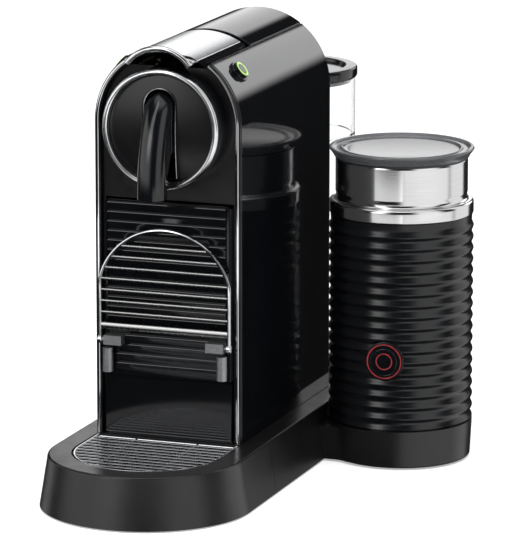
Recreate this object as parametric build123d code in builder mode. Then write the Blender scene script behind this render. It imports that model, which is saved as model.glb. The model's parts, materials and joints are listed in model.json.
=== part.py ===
from build123d import *
from math import asin, atan2, cos, degrees, hypot, radians, sin
import os

os.makedirs("parts", exist_ok=True)

# Pod coffee machine with a milk frother on its base. Millimetres, +Z up, the front faces -Y.
# Local coordinates: x = 0 is the machine's middle plane, y = 0 the front rim of its arched
# housing, z = 0 the counter. The planes below carry them into the part's own frame, whose
# origin is the middle of the footprint.

# ---- driving dimensions ----
HEIGHT = 277.0
BODY_WIDTH = 95.0
BODY_DEPTH = 165.0
SHELL_T = 2.6
ARCH_R = BODY_WIDTH / 2
ARCH_Z = HEIGHT - ARCH_R

BASE_HALF = 65.8
BASE_TOP_HALF = 60.6
BASE_LOW_Z = 1.0
BASE_TOP_Z = 32.8
BASE_WALL = 2.6
FRONT_ROUND_Y = -35.1
REAR_ROUND_Y = 210.4
SEAM_Y = 14.0
CHANNEL_HALF = 46.0
CHANNEL_END_Y = 98.0
BULKHEAD_Y = 85.5

HEAD_Z = 227.8
HEAD_FRONT_Y = -14.0
RING_IN_R = 33.2
RING_OUT_R = 37.4
SPOUT_TIP_Z = 188.0
SPOUT_TOP_Z = 250.5
SPOUT_HALF = 9.0

PANEL_HALF = 41.0
PANEL_LOW_Z = 71.0
PANEL_TOP_Z = 181.0
LOUVRE_PITCH = 5.9
LOUVRE_COUNT = 18

GRID_R = 46.5
GRID_ROUND_Y = -33.5
GRID_REAR_Y = -0.6
GRID_PITCH = 6.4
GRID_WIRE_R = 1.1

SUPPORT_PIVOT_Y = -6.0
SUPPORT_PIVOT_Z = 94.0
SUPPORT_HALF = 43.4
SUPPORT_RAIL = 3.9
SUPPORT_TOP_Z = 166.0
SUPPORT_ARC_LOW_Z = 132.0
SUPPORT_BAR_PITCH = 7.0

LEVER_PIVOT_Y = 60.0
LEVER_PIVOT_Z = 264.0
LEVER_REAR_Y = 66.0
LEVER_FRONT_Y = -16.0
LEVER_HALF_ANGLE = 29.5
LEVER_CUT_ANGLE = 36.0
STRIP_RELIEF_X = 26.0
STRIP_RELIEF_Y = 55.5
COVER_FRONT_Y = 71.8

KNEE_Y = 48.0
KNEE_Z = 259.0
LINK_LENGTH = 37.5
CAGE_PIN_Z = 240.0
CAGE_PIN_Y = KNEE_Y - (LINK_LENGTH**2 - (KNEE_Z - CAGE_PIN_Z) ** 2) ** 0.5
CAGE_Z = 228.0
CAGE_R = 17.5

BUTTON_ANGLE = 39.0
BUTTON_Y = 25.0
BUTTON_R = 5.3

TANK_Y = 230.0
TANK_R = 40.2
TANK_LID_R = 41.5
TANK_WALL = 2.2
TANK_LOW_Z = 38.0
TANK_RIM_Z = 222.0
TANK_TOP_Z = 229.4
DOCK_R = 42.3

JUG_X = 105.0
JUG_Y = 136.4
JUG_R = 45.6
JUG_NECK_R = 41.6
STAND_TOP_Z = 24.8
STAND_IN_R = 43.4
CUP_WALL_X = 57.0
RIB_LOW_Z = 29.6
RIB_PITCH = 7.23
RIB_COUNT = 17
RIB_DEPTH = 1.0
NECK_LOW_Z = 157.2
JUG_RIM_Z = 193.0
JUG_TOP_Z = 198.9
JUG_BUTTON_ANGLE = -84.7
JUG_BUTTON_Z = 70.2
WALL_GAP = 0.3

# ---- the part's frame ----
X_MID = (JUG_X + JUG_R - BASE_HALF) / 2
Y_MID = (REAR_ROUND_Y + FRONT_ROUND_Y) / 2


def level(z):
    return Plane(origin=(-X_MID, -Y_MID, z))


def front(y):
    return Plane(origin=(-X_MID, y - Y_MID, 0), x_dir=(1, 0, 0), z_dir=(0, -1, 0))


def side(x):
    return Plane(origin=(x - X_MID, -Y_MID, 0), x_dir=(0, 1, 0), z_dir=(1, 0, 0))


def jug_level(z):
    return Plane(origin=(JUG_X - X_MID, JUG_Y - Y_MID, z))


def axis_z(x, y):
    return Axis((x - X_MID, y - Y_MID, 0), (0, 0, 1))


def axis_y(x, z):
    return Axis((x - X_MID, 0, z), (0, 1, 0))


def button_plane(side_sign, height):
    """A plane square to the arch at one side button, height above the shell's surface."""
    a = radians(BUTTON_ANGLE)
    reach = ARCH_R + height
    origin = (side_sign * reach * cos(a) - X_MID, BUTTON_Y - Y_MID, ARCH_Z + reach * sin(a))
    return Plane(origin=origin, x_dir=(0, 1, 0), z_dir=(side_sign * cos(a), 0, sin(a)))


def jug_button_plane(radius):
    """A plane facing out of the jug's side at its button."""
    a = radians(JUG_BUTTON_ANGLE)
    origin = (JUG_X - X_MID + radius * cos(a), JUG_Y - Y_MID + radius * sin(a), JUG_BUTTON_Z)
    return Plane(origin=origin, x_dir=(-sin(a), cos(a), 0), z_dir=(cos(a), sin(a), 0))


JUG_PROFILE = Plane(origin=(JUG_X - X_MID, JUG_Y - Y_MID, 0), x_dir=(1, 0, 0), z_dir=(0, -1, 0))
JUG_AXIS = axis_z(JUG_X, JUG_Y)
TANK_PROFILE = Plane(origin=(-X_MID, TANK_Y - Y_MID, 0), x_dir=(1, 0, 0), z_dir=(0, -1, 0))
TANK_AXIS = axis_z(0, TANK_Y)


# ---- shared outlines ----
def stadium(half):
    """The base's plan: straight sides between a round front and a round rear."""
    with BuildLine() as outline:
        Line((-half, FRONT_ROUND_Y), (-half, REAR_ROUND_Y))
        ThreePointArc((-half, REAR_ROUND_Y), (0, REAR_ROUND_Y + half), (half, REAR_ROUND_Y))
        Line((half, REAR_ROUND_Y), (half, FRONT_ROUND_Y))
        ThreePointArc((half, FRONT_ROUND_Y), (0, FRONT_ROUND_Y - half), (-half, FRONT_ROUND_Y))
    make_face(outline.edges())


def base_half_at(z):
    return BASE_HALF + (BASE_TOP_HALF - BASE_HALF) * (z - BASE_LOW_Z) / (BASE_TOP_Z - BASE_LOW_Z)


def base_block(inset, low_z, high_z, mode=Mode.ADD):
    """The drafted base between two heights, inset all round."""
    with BuildSketch(level(low_z)) as low_plan:
        stadium(base_half_at(low_z) - inset)
    with BuildSketch(level(high_z)) as high_plan:
        stadium(base_half_at(high_z) - inset)
    loft([low_plan.sketch, high_plan.sketch], ruled=True, mode=mode)


def u_outline(half, round_y, rear_y):
    """A round-fronted outline with straight sides to a flat rear edge."""
    with BuildLine() as outline:
        Line((half, round_y), (half, rear_y))
        Line((half, rear_y), (-half, rear_y))
        Line((-half, rear_y), (-half, round_y))
        ThreePointArc((-half, round_y), (0, round_y - half), (half, round_y))
    make_face(outline.edges())


def arch_outline(half, low_z):
    """The housing's front outline: straight walls under a half-round top."""
    with BuildLine() as outline:
        Line((half, ARCH_Z), (half, low_z))
        Line((half, low_z), (-half, low_z))
        Line((-half, low_z), (-half, ARCH_Z))
        ThreePointArc((-half, ARCH_Z), (0, ARCH_Z + half), (half, ARCH_Z))
    make_face(outline.edges())


def ring_sector(r_in, r_out, half_angle, centre_z=ARCH_Z):
    """A piece of a ring about the arch's axis, half_angle degrees either side of the top."""
    with BuildLine() as outline:
        inner = CenterArc((0, centre_z), r_in, 90 - half_angle, 2 * half_angle)
        outer = CenterArc((0, centre_z), r_out, 90 - half_angle, 2 * half_angle)
        Line(inner @ 0, outer @ 0)
        Line(inner @ 1, outer @ 1)
    make_face(outline.edges())


def ring_profile(r_in, r_out, low, high):
    """A rectangle beside a turning axis, for a plain turned ring."""
    with Locations(((r_in + r_out) / 2, (low + high) / 2)):
        Rectangle(r_out - r_in, high - low)


def block(x0, x1, y0, y1, z0, z1, mode=Mode.ADD):
    """A box between two corners."""
    with BuildSketch(level(z0)) as plan:
        with Locations(((x0 + x1) / 2, (y0 + y1) / 2)):
            Rectangle(x1 - x0, y1 - y0)
    extrude(plan.sketch, amount=z1 - z0, mode=mode)


def rod_x(y, z, radius, x0, x1, mode=Mode.ADD):
    """A round bar along X."""
    with BuildSketch(side(x0)) as section:
        with Locations((y, z)):
            Circle(radius)
    extrude(section.sketch, amount=x1 - x0, mode=mode)


def rod_y(x, z, radius, y0, y1, mode=Mode.ADD):
    """A round bar along Y."""
    with BuildSketch(front(y1)) as section:
        with Locations((x, z)):
            Circle(radius)
    extrude(section.sketch, amount=y1 - y0, mode=mode)


def rod_z(x, y, radius, z0, z1, mode=Mode.ADD):
    """A round bar along Z."""
    with BuildSketch(level(z0)) as section:
        with Locations((x, y)):
            Circle(radius)
    extrude(section.sketch, amount=z1 - z0, mode=mode)


# ---- base and chassis ----
with BuildPart() as base_foot:
    base_block(0, BASE_LOW_Z, BASE_TOP_Z)
    split(bisect_by=front(SEAM_Y), keep=Keep.BOTTOM)
    top_edges = base_foot.edges().group_by(Axis.Z)[-1].sort_by(Axis.Y)
    fillet(top_edges[1:], 1.5)
    with BuildSketch(level(BASE_LOW_Z)):
        stadium(base_half_at(BASE_LOW_Z) - BASE_WALL)
        with Locations((0, SEAM_Y + BASE_WALL - 150)):
            Rectangle(200, 300, mode=Mode.SUBTRACT)
    with BuildSketch(level(BASE_TOP_Z - BASE_WALL)):
        stadium(base_half_at(BASE_TOP_Z - BASE_WALL) - BASE_WALL)
        with Locations((0, SEAM_Y + BASE_WALL - 150)):
            Rectangle(200, 300, mode=Mode.SUBTRACT)
    loft(ruled=True, mode=Mode.SUBTRACT)
    for wall_sign in (-1, 1):
        inner_x = wall_sign * CHANNEL_HALF
        outer_x = wall_sign * (CHANNEL_HALF + BASE_WALL)
        block(min(inner_x, outer_x), max(inner_x, outer_x), SEAM_Y, CHANNEL_END_Y, 5.0, 31.0)
    block(-CHANNEL_HALF, CHANNEL_HALF, CHANNEL_END_Y - BASE_WALL, CHANNEL_END_Y, 5.0, 31.0)
    block(-CHANNEL_HALF, CHANNEL_HALF, SEAM_Y - 1, CHANNEL_END_Y - BASE_WALL, 0.0, 40.0,
          mode=Mode.SUBTRACT)
    block(CUP_WALL_X, CUP_WALL_X + 3.6, JUG_Y - 26, JUG_Y + 26, 4.0, 31.0)
    rod_z(JUG_X, JUG_Y, STAND_IN_R, 8.2, 40, mode=Mode.SUBTRACT)
    rod_z(JUG_X, JUG_Y, JUG_R + 0.6, STAND_TOP_Z, 40, mode=Mode.SUBTRACT)
    rod_z(0, TANK_Y, 5.0, 26, 36, mode=Mode.SUBTRACT)
    rod_y(0, 15.0, 5.6, REAR_ROUND_Y + 50, REAR_ROUND_Y + 70, mode=Mode.SUBTRACT)
base_foot.part.label = "base_foot"
export_step(base_foot.part, "parts/base_foot.step")

with BuildPart() as bottom_plate:
    with BuildSketch(level(1.4)):
        stadium(BASE_HALF - BASE_WALL - 0.9)
        with Locations((0, SEAM_Y + BASE_WALL - 149.5)):
            Rectangle(200, 300, mode=Mode.SUBTRACT)
    extrude(amount=2.4)
    for slot_y in range(110, 171, 10):
        with BuildSketch(level(1.0)):
            with Locations((0, slot_y)):
                SlotOverall(50, 4)
        extrude(amount=4, mode=Mode.SUBTRACT)
bottom_plate.part.label = "bottom_plate"
export_step(bottom_plate.part, "parts/bottom_plate.step")

FOOT_PLACES = [(-54, 30), (54, 30), (-38, 236), (38, 236)]
with BuildPart() as rubber_feet:
    with BuildSketch(level(0)):
        with Locations(*FOOT_PLACES):
            Circle(5.5)
        with Locations((JUG_X + 30, JUG_Y), (JUG_X, JUG_Y + 30), (JUG_X, JUG_Y - 30)):
            Circle(5.5)
    extrude(amount=1.4)
rubber_feet.part.label = "rubber_feet"
export_step(rubber_feet.part, "parts/rubber_feet.step")

with BuildPart() as cord_inlet:
    inlet_y = REAR_ROUND_Y + BASE_HALF - 0.4
    rod_y(0, 15.0, 5.4, inlet_y - 9, inlet_y)
    rod_y(0, 15.0, 8.0, inlet_y - 9, inlet_y - 6.2)
    rod_y(0, 15.0, 3.5, inlet_y - 10, inlet_y + 1, mode=Mode.SUBTRACT)
cord_inlet.part.label = "cord_inlet"
export_step(cord_inlet.part, "parts/cord_inlet.step")

# ---- arched housing ----


def side_panel(side_sign):
    """One half of the arched housing: a wall and its quarter of the arch, holed for a button."""
    with BuildSketch(front(BODY_DEPTH)) as outer:
        arch_outline(ARCH_R, BASE_TOP_Z)
    extrude(outer.sketch, amount=BODY_DEPTH - 1.6)
    with BuildSketch(front(BODY_DEPTH + 1)) as inner:
        arch_outline(ARCH_R - SHELL_T, BASE_TOP_Z - 1)
    extrude(inner.sketch, amount=BODY_DEPTH + 2, mode=Mode.SUBTRACT)
    with BuildSketch(front(BODY_DEPTH + 1)) as opening:
        ring_sector(ARCH_R - 12, ARCH_R + 8, LEVER_CUT_ANGLE)
    extrude(opening.sketch, amount=BODY_DEPTH + 2, mode=Mode.SUBTRACT)
    with BuildSketch(button_plane(side_sign, 4)) as hole:
        Circle(7.0)
    extrude(hole.sketch, amount=-12, mode=Mode.SUBTRACT)
    far_x = -side_sign * BODY_WIDTH
    block(min(0, far_x), max(0, far_x), -5, BODY_DEPTH + 5, 0, HEIGHT + 5, mode=Mode.SUBTRACT)


with BuildPart() as side_panel_left:
    side_panel(-1)
side_panel_left.part.label = "side_panel_left"
export_step(side_panel_left.part, "parts/side_panel_left.step")

with BuildPart() as side_panel_right:
    side_panel(1)
side_panel_right.part.label = "side_panel_right"
export_step(side_panel_right.part, "parts/side_panel_right.step")

TRIM_OUT = ARCH_R - 0.4
TRIM_IN = ARCH_R - 3.8
with BuildPart() as edge_trim:
    with BuildSketch(front(1.6)):
        arch_outline(TRIM_OUT, BASE_TOP_Z)
    extrude(amount=1.6)
    trim_front = edge_trim.faces().sort_by(Axis.Y)[0]
    fillet(trim_front.edges().sort_by(Axis.Z)[1:], 0.7)
    with BuildSketch(front(9)):
        arch_outline(TRIM_IN, BASE_TOP_Z - 1)
    extrude(amount=12, mode=Mode.SUBTRACT)
    with BuildSketch(front(9)):
        ring_sector(ARCH_R - 12, ARCH_R + 8, LEVER_CUT_ANGLE)
    extrude(amount=12, mode=Mode.SUBTRACT)
edge_trim.part.label = "edge_trim"
export_step(edge_trim.part, "parts/edge_trim.step")

FASCIA_HALF = ARCH_R - SHELL_T - 0.1
with BuildPart() as front_fascia:
    with BuildSketch(front(6.5)):
        arch_outline(FASCIA_HALF, BASE_TOP_Z + 0.4)
        with Locations((0, (PANEL_TOP_Z + 0.6 + BASE_TOP_Z) / 2)):
            Rectangle(2 * PANEL_HALF + 1.2, PANEL_TOP_Z + 0.6 - BASE_TOP_Z, mode=Mode.SUBTRACT)
        with Locations((0, HEAD_Z)):
            Circle(RING_OUT_R - 2.5, mode=Mode.SUBTRACT)
        with Locations((0, HEIGHT)):
            Rectangle(56, 26, mode=Mode.SUBTRACT)
    extrude(amount=2.5)
    block(-FASCIA_HALF, -PANEL_HALF - 0.6, 6.5, 84, 40, 44)
    block(PANEL_HALF + 0.6, FASCIA_HALF, 6.5, 84, 40, 44)
front_fascia.part.label = "front_fascia"
export_step(front_fascia.part, "parts/front_fascia.step")

with BuildPart() as rear_top_cover:
    with BuildSketch(front(BODY_DEPTH)):
        ring_sector(ARCH_R - SHELL_T, ARCH_R, LEVER_CUT_ANGLE - 0.3)
    extrude(amount=BODY_DEPTH - COVER_FRONT_Y)
    fillet(rear_top_cover.faces().sort_by(Axis.Y)[0].edges().sort_by(Axis.Z)[-1:], 0.8)
rear_top_cover.part.label = "rear_top_cover"
export_step(rear_top_cover.part, "parts/rear_top_cover.step")

SPINE_HALF = 28.0
with BuildPart() as rear_cover:
    with BuildSketch(front(BODY_DEPTH)):
        arch_outline(ARCH_R - SHELL_T - 0.2, BASE_TOP_Z + 0.2)
    extrude(amount=3)
    block(-SPINE_HALF, SPINE_HALF, BODY_DEPTH - 3, 200, BASE_TOP_Z + 0.2, 216)
    block(-SPINE_HALF + 2.4, SPINE_HALF - 2.4, BODY_DEPTH - 5, 184, 40, 213, mode=Mode.SUBTRACT)
    rod_z(0, TANK_Y, DOCK_R + 0.7, 30, 220, mode=Mode.SUBTRACT)
    for vent in range(9):
        with BuildSketch(front(BODY_DEPTH + 1)):
            with Locations((-36.5, 100 + 8 * vent), (36.5, 100 + 8 * vent)):
                SlotOverall(11, 3)
        extrude(amount=6, mode=Mode.SUBTRACT)
rear_cover.part.label = "rear_cover"
export_step(rear_cover.part, "parts/rear_cover.step")

SCREW_PLACES = [(-41, 60), (41, 60), (-41, 200), (41, 200)]
with BuildPart() as case_screws:
    with BuildSketch(front(BODY_DEPTH + 1.3)):
        with Locations(*SCREW_PLACES):
            Circle(2.9)
            RegularPolygon(1.3, 6, mode=Mode.SUBTRACT)
    extrude(amount=1.3)
case_screws.part.label = "case_screws"
export_step(case_screws.part, "parts/case_screws.step")

# ---- brewing head ----
with BuildPart() as head_drum:
    rod_y(0, HEAD_Z, RING_OUT_R, -4.4, 3.9)
    rod_y(0, HEAD_Z, RING_OUT_R - 3.0, -4.4, 8.0)
    rod_y(0, HEAD_Z, RING_IN_R - 2.2, -6, 9, mode=Mode.SUBTRACT)
    with BuildSketch(front(0)):
        with Locations((0, HEAD_Z)):
            Circle(RING_OUT_R + 1)
            Circle(RING_IN_R - 2.2, mode=Mode.SUBTRACT)
        with Locations((0, HEAD_Z - RING_OUT_R)):
            Rectangle(22, 16, mode=Mode.INTERSECT)
    extrude(amount=8, mode=Mode.SUBTRACT)
head_drum.part.label = "head_drum"
export_step(head_drum.part, "parts/head_drum.step")

with BuildPart() as head_ring:
    with BuildSketch(side(0)):
        with BuildLine():
            Polyline([(-4.4, HEAD_Z + RING_OUT_R), (HEAD_FRONT_Y + 1.6, HEAD_Z + RING_OUT_R)])
            ThreePointArc(
                (HEAD_FRONT_Y + 1.6, HEAD_Z + RING_OUT_R),
                (HEAD_FRONT_Y, HEAD_Z + (RING_OUT_R + RING_IN_R) / 2),
                (HEAD_FRONT_Y + 1.6, HEAD_Z + RING_IN_R),
            )
            Polyline([(HEAD_FRONT_Y + 1.6, HEAD_Z + RING_IN_R), (-4.4, HEAD_Z + RING_IN_R)])
            Line((-4.4, HEAD_Z + RING_IN_R), (-4.4, HEAD_Z + RING_OUT_R))
        make_face()
    revolve(axis=axis_y(0, HEAD_Z))
head_ring.part.label = "head_ring"
export_step(head_ring.part, "parts/head_ring.step")

SLOT_HALF = 10.3
SLOT_TOP_Z = 253.0
with BuildPart() as head_disc:
    rod_y(0, HEAD_Z, RING_IN_R - 0.1, HEAD_FRONT_Y + 3.6, HEAD_FRONT_Y + 6.4)
    with BuildSketch(front(-4)):
        with Locations((0, SLOT_TOP_Z - SLOT_HALF - 50)):
            Rectangle(2 * SLOT_HALF, 100)
        with Locations((0, SLOT_TOP_Z - SLOT_HALF)):
            Circle(SLOT_HALF)
    extrude(amount=16, mode=Mode.SUBTRACT)
head_disc.part.label = "head_disc"
export_step(head_disc.part, "parts/head_disc.step")

with BuildPart() as coffee_spout:
    with BuildSketch(side(-SPOUT_HALF)):
        with BuildLine():
            Polyline([(-5.0, 251), (-11.5, 250)])
            Spline([(-11.5, 250), (-21, 240), (-28.5, 225), (-32.5, 207), (-34.5, 189)])
            Polyline([(-34.5, 189), (-23.5, SPOUT_TIP_Z)])
            Spline([(-23.5, SPOUT_TIP_Z), (-22.0, 207), (-15.5, 217), (-5.0, 221)])
            Line((-5.0, 221), (-5.0, 251))
        make_face()
    extrude(amount=2 * SPOUT_HALF)
    with BuildSketch(front(0)):
        with Locations((0, (SPOUT_TOP_Z - SPOUT_HALF + SPOUT_TIP_Z - 10) / 2)):
            Rectangle(2 * SPOUT_HALF, SPOUT_TOP_Z - SPOUT_HALF - SPOUT_TIP_Z + 10)
        with Locations((0, SPOUT_TOP_Z - SPOUT_HALF)):
            Circle(SPOUT_HALF)
    extrude(amount=60, mode=Mode.INTERSECT)
    rod_z(0, -28.6, 4.0, SPOUT_TIP_Z - 2, 214, mode=Mode.SUBTRACT)
coffee_spout.part.label = "coffee_spout"
export_step(coffee_spout.part, "parts/coffee_spout.step")

with BuildPart() as extraction_plate:
    rod_y(0, CAGE_Z, 17.0, 4.4, 7.6)
    rod_y(0, CAGE_Z, 6.0, -4.6, 4.4)
    rod_y(0, CAGE_Z, 2.5, -5, 8, mode=Mode.SUBTRACT)
    with BuildSketch(front(8)):
        with Locations((0, CAGE_Z)):
            with PolarLocations(11, 12):
                Circle(1.2)
    extrude(amount=5, mode=Mode.SUBTRACT)
extraction_plate.part.label = "extraction_plate"
export_step(extraction_plate.part, "parts/extraction_plate.step")

FRAME_IN_X = 19.0
FRAME_OUT_X = 21.0
with BuildPart() as brew_frame:
    for frame_side in (-1, 1):
        x0 = min(frame_side * FRAME_IN_X, frame_side * FRAME_OUT_X)
        with BuildSketch(side(x0)):
            with Locations((38, 228.5)):
                Rectangle(59, 42)
            with Locations((LEVER_PIVOT_Y, 256)):
                Rectangle(9, 16)
            with Locations((LEVER_PIVOT_Y, LEVER_PIVOT_Z)):
                Circle(4.5)
                Circle(2.05, mode=Mode.SUBTRACT)
            with Locations((27.8, CAGE_PIN_Z)):
                SlotOverall(33, 6.4, mode=Mode.SUBTRACT)
        extrude(amount=FRAME_OUT_X - FRAME_IN_X)
    block(-FRAME_OUT_X, FRAME_OUT_X, 66.5, 69, 207.5, 250)
    block(-FRAME_OUT_X, FRAME_OUT_X, 62, BULKHEAD_Y - 0.2, 205, 207.5)
    rod_y(0, CAGE_Z, 5, 60, 72, mode=Mode.SUBTRACT)
brew_frame.part.label = "brew_frame"
export_step(brew_frame.part, "parts/brew_frame.step")

with BuildPart() as inner_bulkhead:
    with BuildSketch(front(BULKHEAD_Y + 2.5)):
        arch_outline(ARCH_R - SHELL_T - 0.3, BASE_TOP_Z + 0.2)
        with Locations((0, ARCH_Z + 25)):
            Rectangle(120, 58, mode=Mode.SUBTRACT)
    extrude(amount=2.5)
    block(-30, 34, BULKHEAD_Y + 2.5, 155, 92, 94.5)
    block(-30, 34, BULKHEAD_Y + 2.5, 150, 150, 152.5)
    rod_y(12, 185, 4.5, 80, 95, mode=Mode.SUBTRACT)
inner_bulkhead.part.label = "inner_bulkhead"
export_step(inner_bulkhead.part, "parts/inner_bulkhead.step")

with BuildPart() as thermoblock:
    with BuildSketch(level(154)):
        with Locations((-4, 119)):
            RectangleRounded(44, 50, 8)
    extrude(amount=34)
    fillet(thermoblock.edges().group_by(Axis.Z)[-1], 3)
    rod_y(12, 171, 3.0, 88.8, 96)
    rod_y(-12, 171, 3.0, 140, 152)
thermoblock.part.label = "thermoblock"
export_step(thermoblock.part, "parts/thermoblock.step")

PUMP_Z = 118.0
with BuildPart() as pump:
    rod_y(0, PUMP_Z, 13.0, 97, 152)
    with BuildSketch(front(142)):
        with Locations((0, PUMP_Z)):
            RectangleRounded(40, 42, 5)
    extrude(amount=32)
    rod_y(0, PUMP_Z, 4.0, 93, 157)
pump.part.label = "pump"
export_step(pump.part, "parts/pump.step")

with BuildPart() as pump_mounts:
    for mount_y in (98.0, 146.5):
        rod_y(0, PUMP_Z, 18.0, mount_y, mount_y + 5)
        rod_y(0, PUMP_Z, 13.0, mount_y - 1, mount_y + 6, mode=Mode.SUBTRACT)
        block(-8, 8, mount_y, mount_y + 5, 94.5, PUMP_Z - 15)
pump_mounts.part.label = "pump_mounts"
export_step(pump_mounts.part, "parts/pump_mounts.step")

with BuildPart() as flow_meter:
    rod_z(0, 128, 14.0, 52, 64)
    rod_z(0, 128, 16.0, 56, 59)
    rod_x(128, 57.5, 3.0, 8, 22)
    rod_x(128, 57.5, 3.0, -22, -8)
    block(-10, 10, 124, 132, 46, 52)
flow_meter.part.label = "flow_meter"
export_step(flow_meter.part, "parts/flow_meter.step")

with BuildPart() as control_board:
    block(-24, 24, 92, 150, 214, 215.6)
    block(-20, -4, 100, 118, 215.6, 229)
    block(2, 18, 98, 112, 215.6, 224)
    rod_z(10, 130, 6, 215.6, 236)
    rod_z(-12, 134, 5, 215.6, 231)
    block(14, 22, 120, 142, 215.6, 221)
    for post_x, post_y in ((-22, 94), (22, 94), (-22, 148), (22, 148)):
        rod_z(post_x, post_y, 2.4, 209, 214)
control_board.part.label = "control_board"
export_step(control_board.part, "parts/control_board.step")

with BuildPart() as button_switches:
    for button_side in (-1, 1):
        with BuildSketch(button_plane(button_side, -7.6)):
            Rectangle(7, 7)
        extrude(amount=-4)
        with BuildSketch(button_plane(button_side, -7.6)):
            Circle(1.6)
        extrude(amount=1.0)
button_switches.part.label = "button_switches"
export_step(button_switches.part, "parts/button_switches.step")

with BuildPart() as button_rings:
    for button_side in (-1, 1):
        with BuildSketch(button_plane(button_side, -4)):
            Circle(6.9)
            Circle(BUTTON_R + WALL_GAP, mode=Mode.SUBTRACT)
        extrude(amount=5.4)
button_rings.part.label = "button_rings"
export_step(button_rings.part, "parts/button_rings.step")


def tube_route(points, radii, tube_r):
    """A hose along straight runs joined by tangent arcs."""
    with BuildLine(Plane(origin=(-X_MID, -Y_MID, 0))) as route:
        FilletPolyline(*points, radius=radii)
    path = route.wire()
    with BuildSketch(Plane(origin=path @ 0, z_dir=path % 0)) as section:
        Circle(tube_r)
    sweep(section.sketch, path=path)


with BuildPart() as water_hoses:
    tube_route([(0, 181, 44), (0, 162, 44), (30, 150, 48), (30, 128, 57.5), (22, 128, 57.5)],
               [8, 9, 3.4], 2.6)
    tube_route([(-22, 128, 57.5), (-38, 128, 60), (-38, 150, 88), (-24, 157, 118), (-4, 155, 118)],
               [7, 12, 9], 2.6)
    tube_route([(-4, 95, 118), (-24, 96, 122), (-38, 104, 150), (-38, 140, 168),
                (-28, 155, 171), (-12, 155, 171)], [10, 12, 10, 8], 2.2)
water_hoses.part.label = "water_hoses"
export_step(water_hoses.part, "parts/water_hoses.step")

# ---- side buttons ----
with BuildPart() as button_short:
    with BuildSketch(button_plane(-1, -5.0)):
        Circle(BUTTON_R)
    extrude(amount=8.6)
    fillet(button_short.faces().sort_by(Axis.Z)[-1].edges(), 0.8)
button_short.part.label = "button_short"
export_step(button_short.part, "parts/button_short.step")

with BuildPart() as button_long:
    with BuildSketch(button_plane(1, -5.0)):
        Circle(BUTTON_R)
    extrude(amount=8.6)
    fillet(button_long.faces().sort_by(Axis.Z)[-1].edges(), 0.8)
button_long.part.label = "button_long"
export_step(button_long.part, "parts/button_long.step")

# ---- lever and capsule mechanism ----
PLATE_FRONT_Y = -9.0
LIP_R = 27.0
LIP_TOP_Z = 279.6
with BuildPart() as lever_plate:
    with BuildSketch(front(LEVER_REAR_Y)):
        ring_sector(ARCH_R - 1.8, ARCH_R, LEVER_HALF_ANGLE)
    extrude(amount=LEVER_REAR_Y - PLATE_FRONT_Y)
lever_plate.part.label = "lever_plate"
export_step(lever_plate.part, "parts/lever_plate.step")

with BuildPart() as lever_lip:
    with BuildSketch(front(PLATE_FRONT_Y)):
        ring_sector(ARCH_R - 2.6, ARCH_R, 27.5)
    with BuildSketch(front(LEVER_FRONT_Y)):
        ring_sector(LIP_R - 3.0, LIP_R, degrees(asin(21.5 / LIP_R)), LIP_TOP_Z - LIP_R)
    loft(ruled=True)
lever_lip.part.label = "lever_lip"
export_step(lever_lip.part, "parts/lever_lip.step")

CHEEK_IN_X = 24.0
CHEEK_OUT_X = 25.8
LINK_IN_X = 21.6
LINK_T = 1.8
with BuildPart() as lever_frame:
    with BuildSketch(front(LEVER_REAR_Y)):
        ring_sector(ARCH_R - 3.6, ARCH_R - 1.8, LEVER_CUT_ANGLE - 0.6)
    extrude(amount=LEVER_REAR_Y + 2)
    with BuildSketch(front(LEVER_REAR_Y)):
        ring_sector(ARCH_R - 3.6, ARCH_R, LEVER_CUT_ANGLE - 0.6)
        with Locations((0, ARCH_Z + 40)):
            Rectangle(2 * ARCH_R * sin(radians(LEVER_HALF_ANGLE)) + 0.2, 60, mode=Mode.SUBTRACT)
    extrude(amount=LEVER_REAR_Y + 2)
    for strip_side in (-1, 1):
        strip_in = strip_side * STRIP_RELIEF_X
        strip_out = strip_side * ARCH_R
        block(min(strip_in, strip_out), max(strip_in, strip_out), STRIP_RELIEF_Y, LEVER_REAR_Y + 1,
              LEVER_PIVOT_Z - 4, HEIGHT, mode=Mode.SUBTRACT)
    for notch_side in (-1, 1):
        notch_in = notch_side * (FRAME_IN_X - 0.6)
        notch_out = notch_side * (FRAME_OUT_X + 0.6)
        block(min(notch_in, notch_out), max(notch_in, notch_out), 52, 67, 262, 269.0,
              mode=Mode.SUBTRACT)
    for cheek_side in (-1, 1):
        x0 = min(cheek_side * CHEEK_IN_X, cheek_side * CHEEK_OUT_X)
        with BuildSketch(side(x0)):
            with Locations((LEVER_PIVOT_Y, LEVER_PIVOT_Z)):
                Circle(4.0)
            with BuildLine():
                Polyline([(LEVER_PIVOT_Y, LEVER_PIVOT_Z - 4), (KNEE_Y, KNEE_Z - 3.4),
                          (KNEE_Y - 3.4, KNEE_Z), (KNEE_Y - 3, LEVER_PIVOT_Z + 2),
                          (LEVER_PIVOT_Y, LEVER_PIVOT_Z + 2), (LEVER_PIVOT_Y, LEVER_PIVOT_Z - 4)])
            make_face()
        extrude(amount=CHEEK_OUT_X - CHEEK_IN_X)
    rod_x(LEVER_PIVOT_Y, LEVER_PIVOT_Z, 2.0, -CHEEK_OUT_X - 4, CHEEK_OUT_X + 4, mode=Mode.SUBTRACT)
lever_frame.part.label = "lever_frame"
export_step(lever_frame.part, "parts/lever_frame.step")

with BuildPart() as lever_pin:
    rod_x(LEVER_PIVOT_Y, LEVER_PIVOT_Z, 2.0, -CHEEK_OUT_X, CHEEK_OUT_X)
lever_pin.part.label = "lever_pin"
export_step(lever_pin.part, "parts/lever_pin.step")

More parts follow.
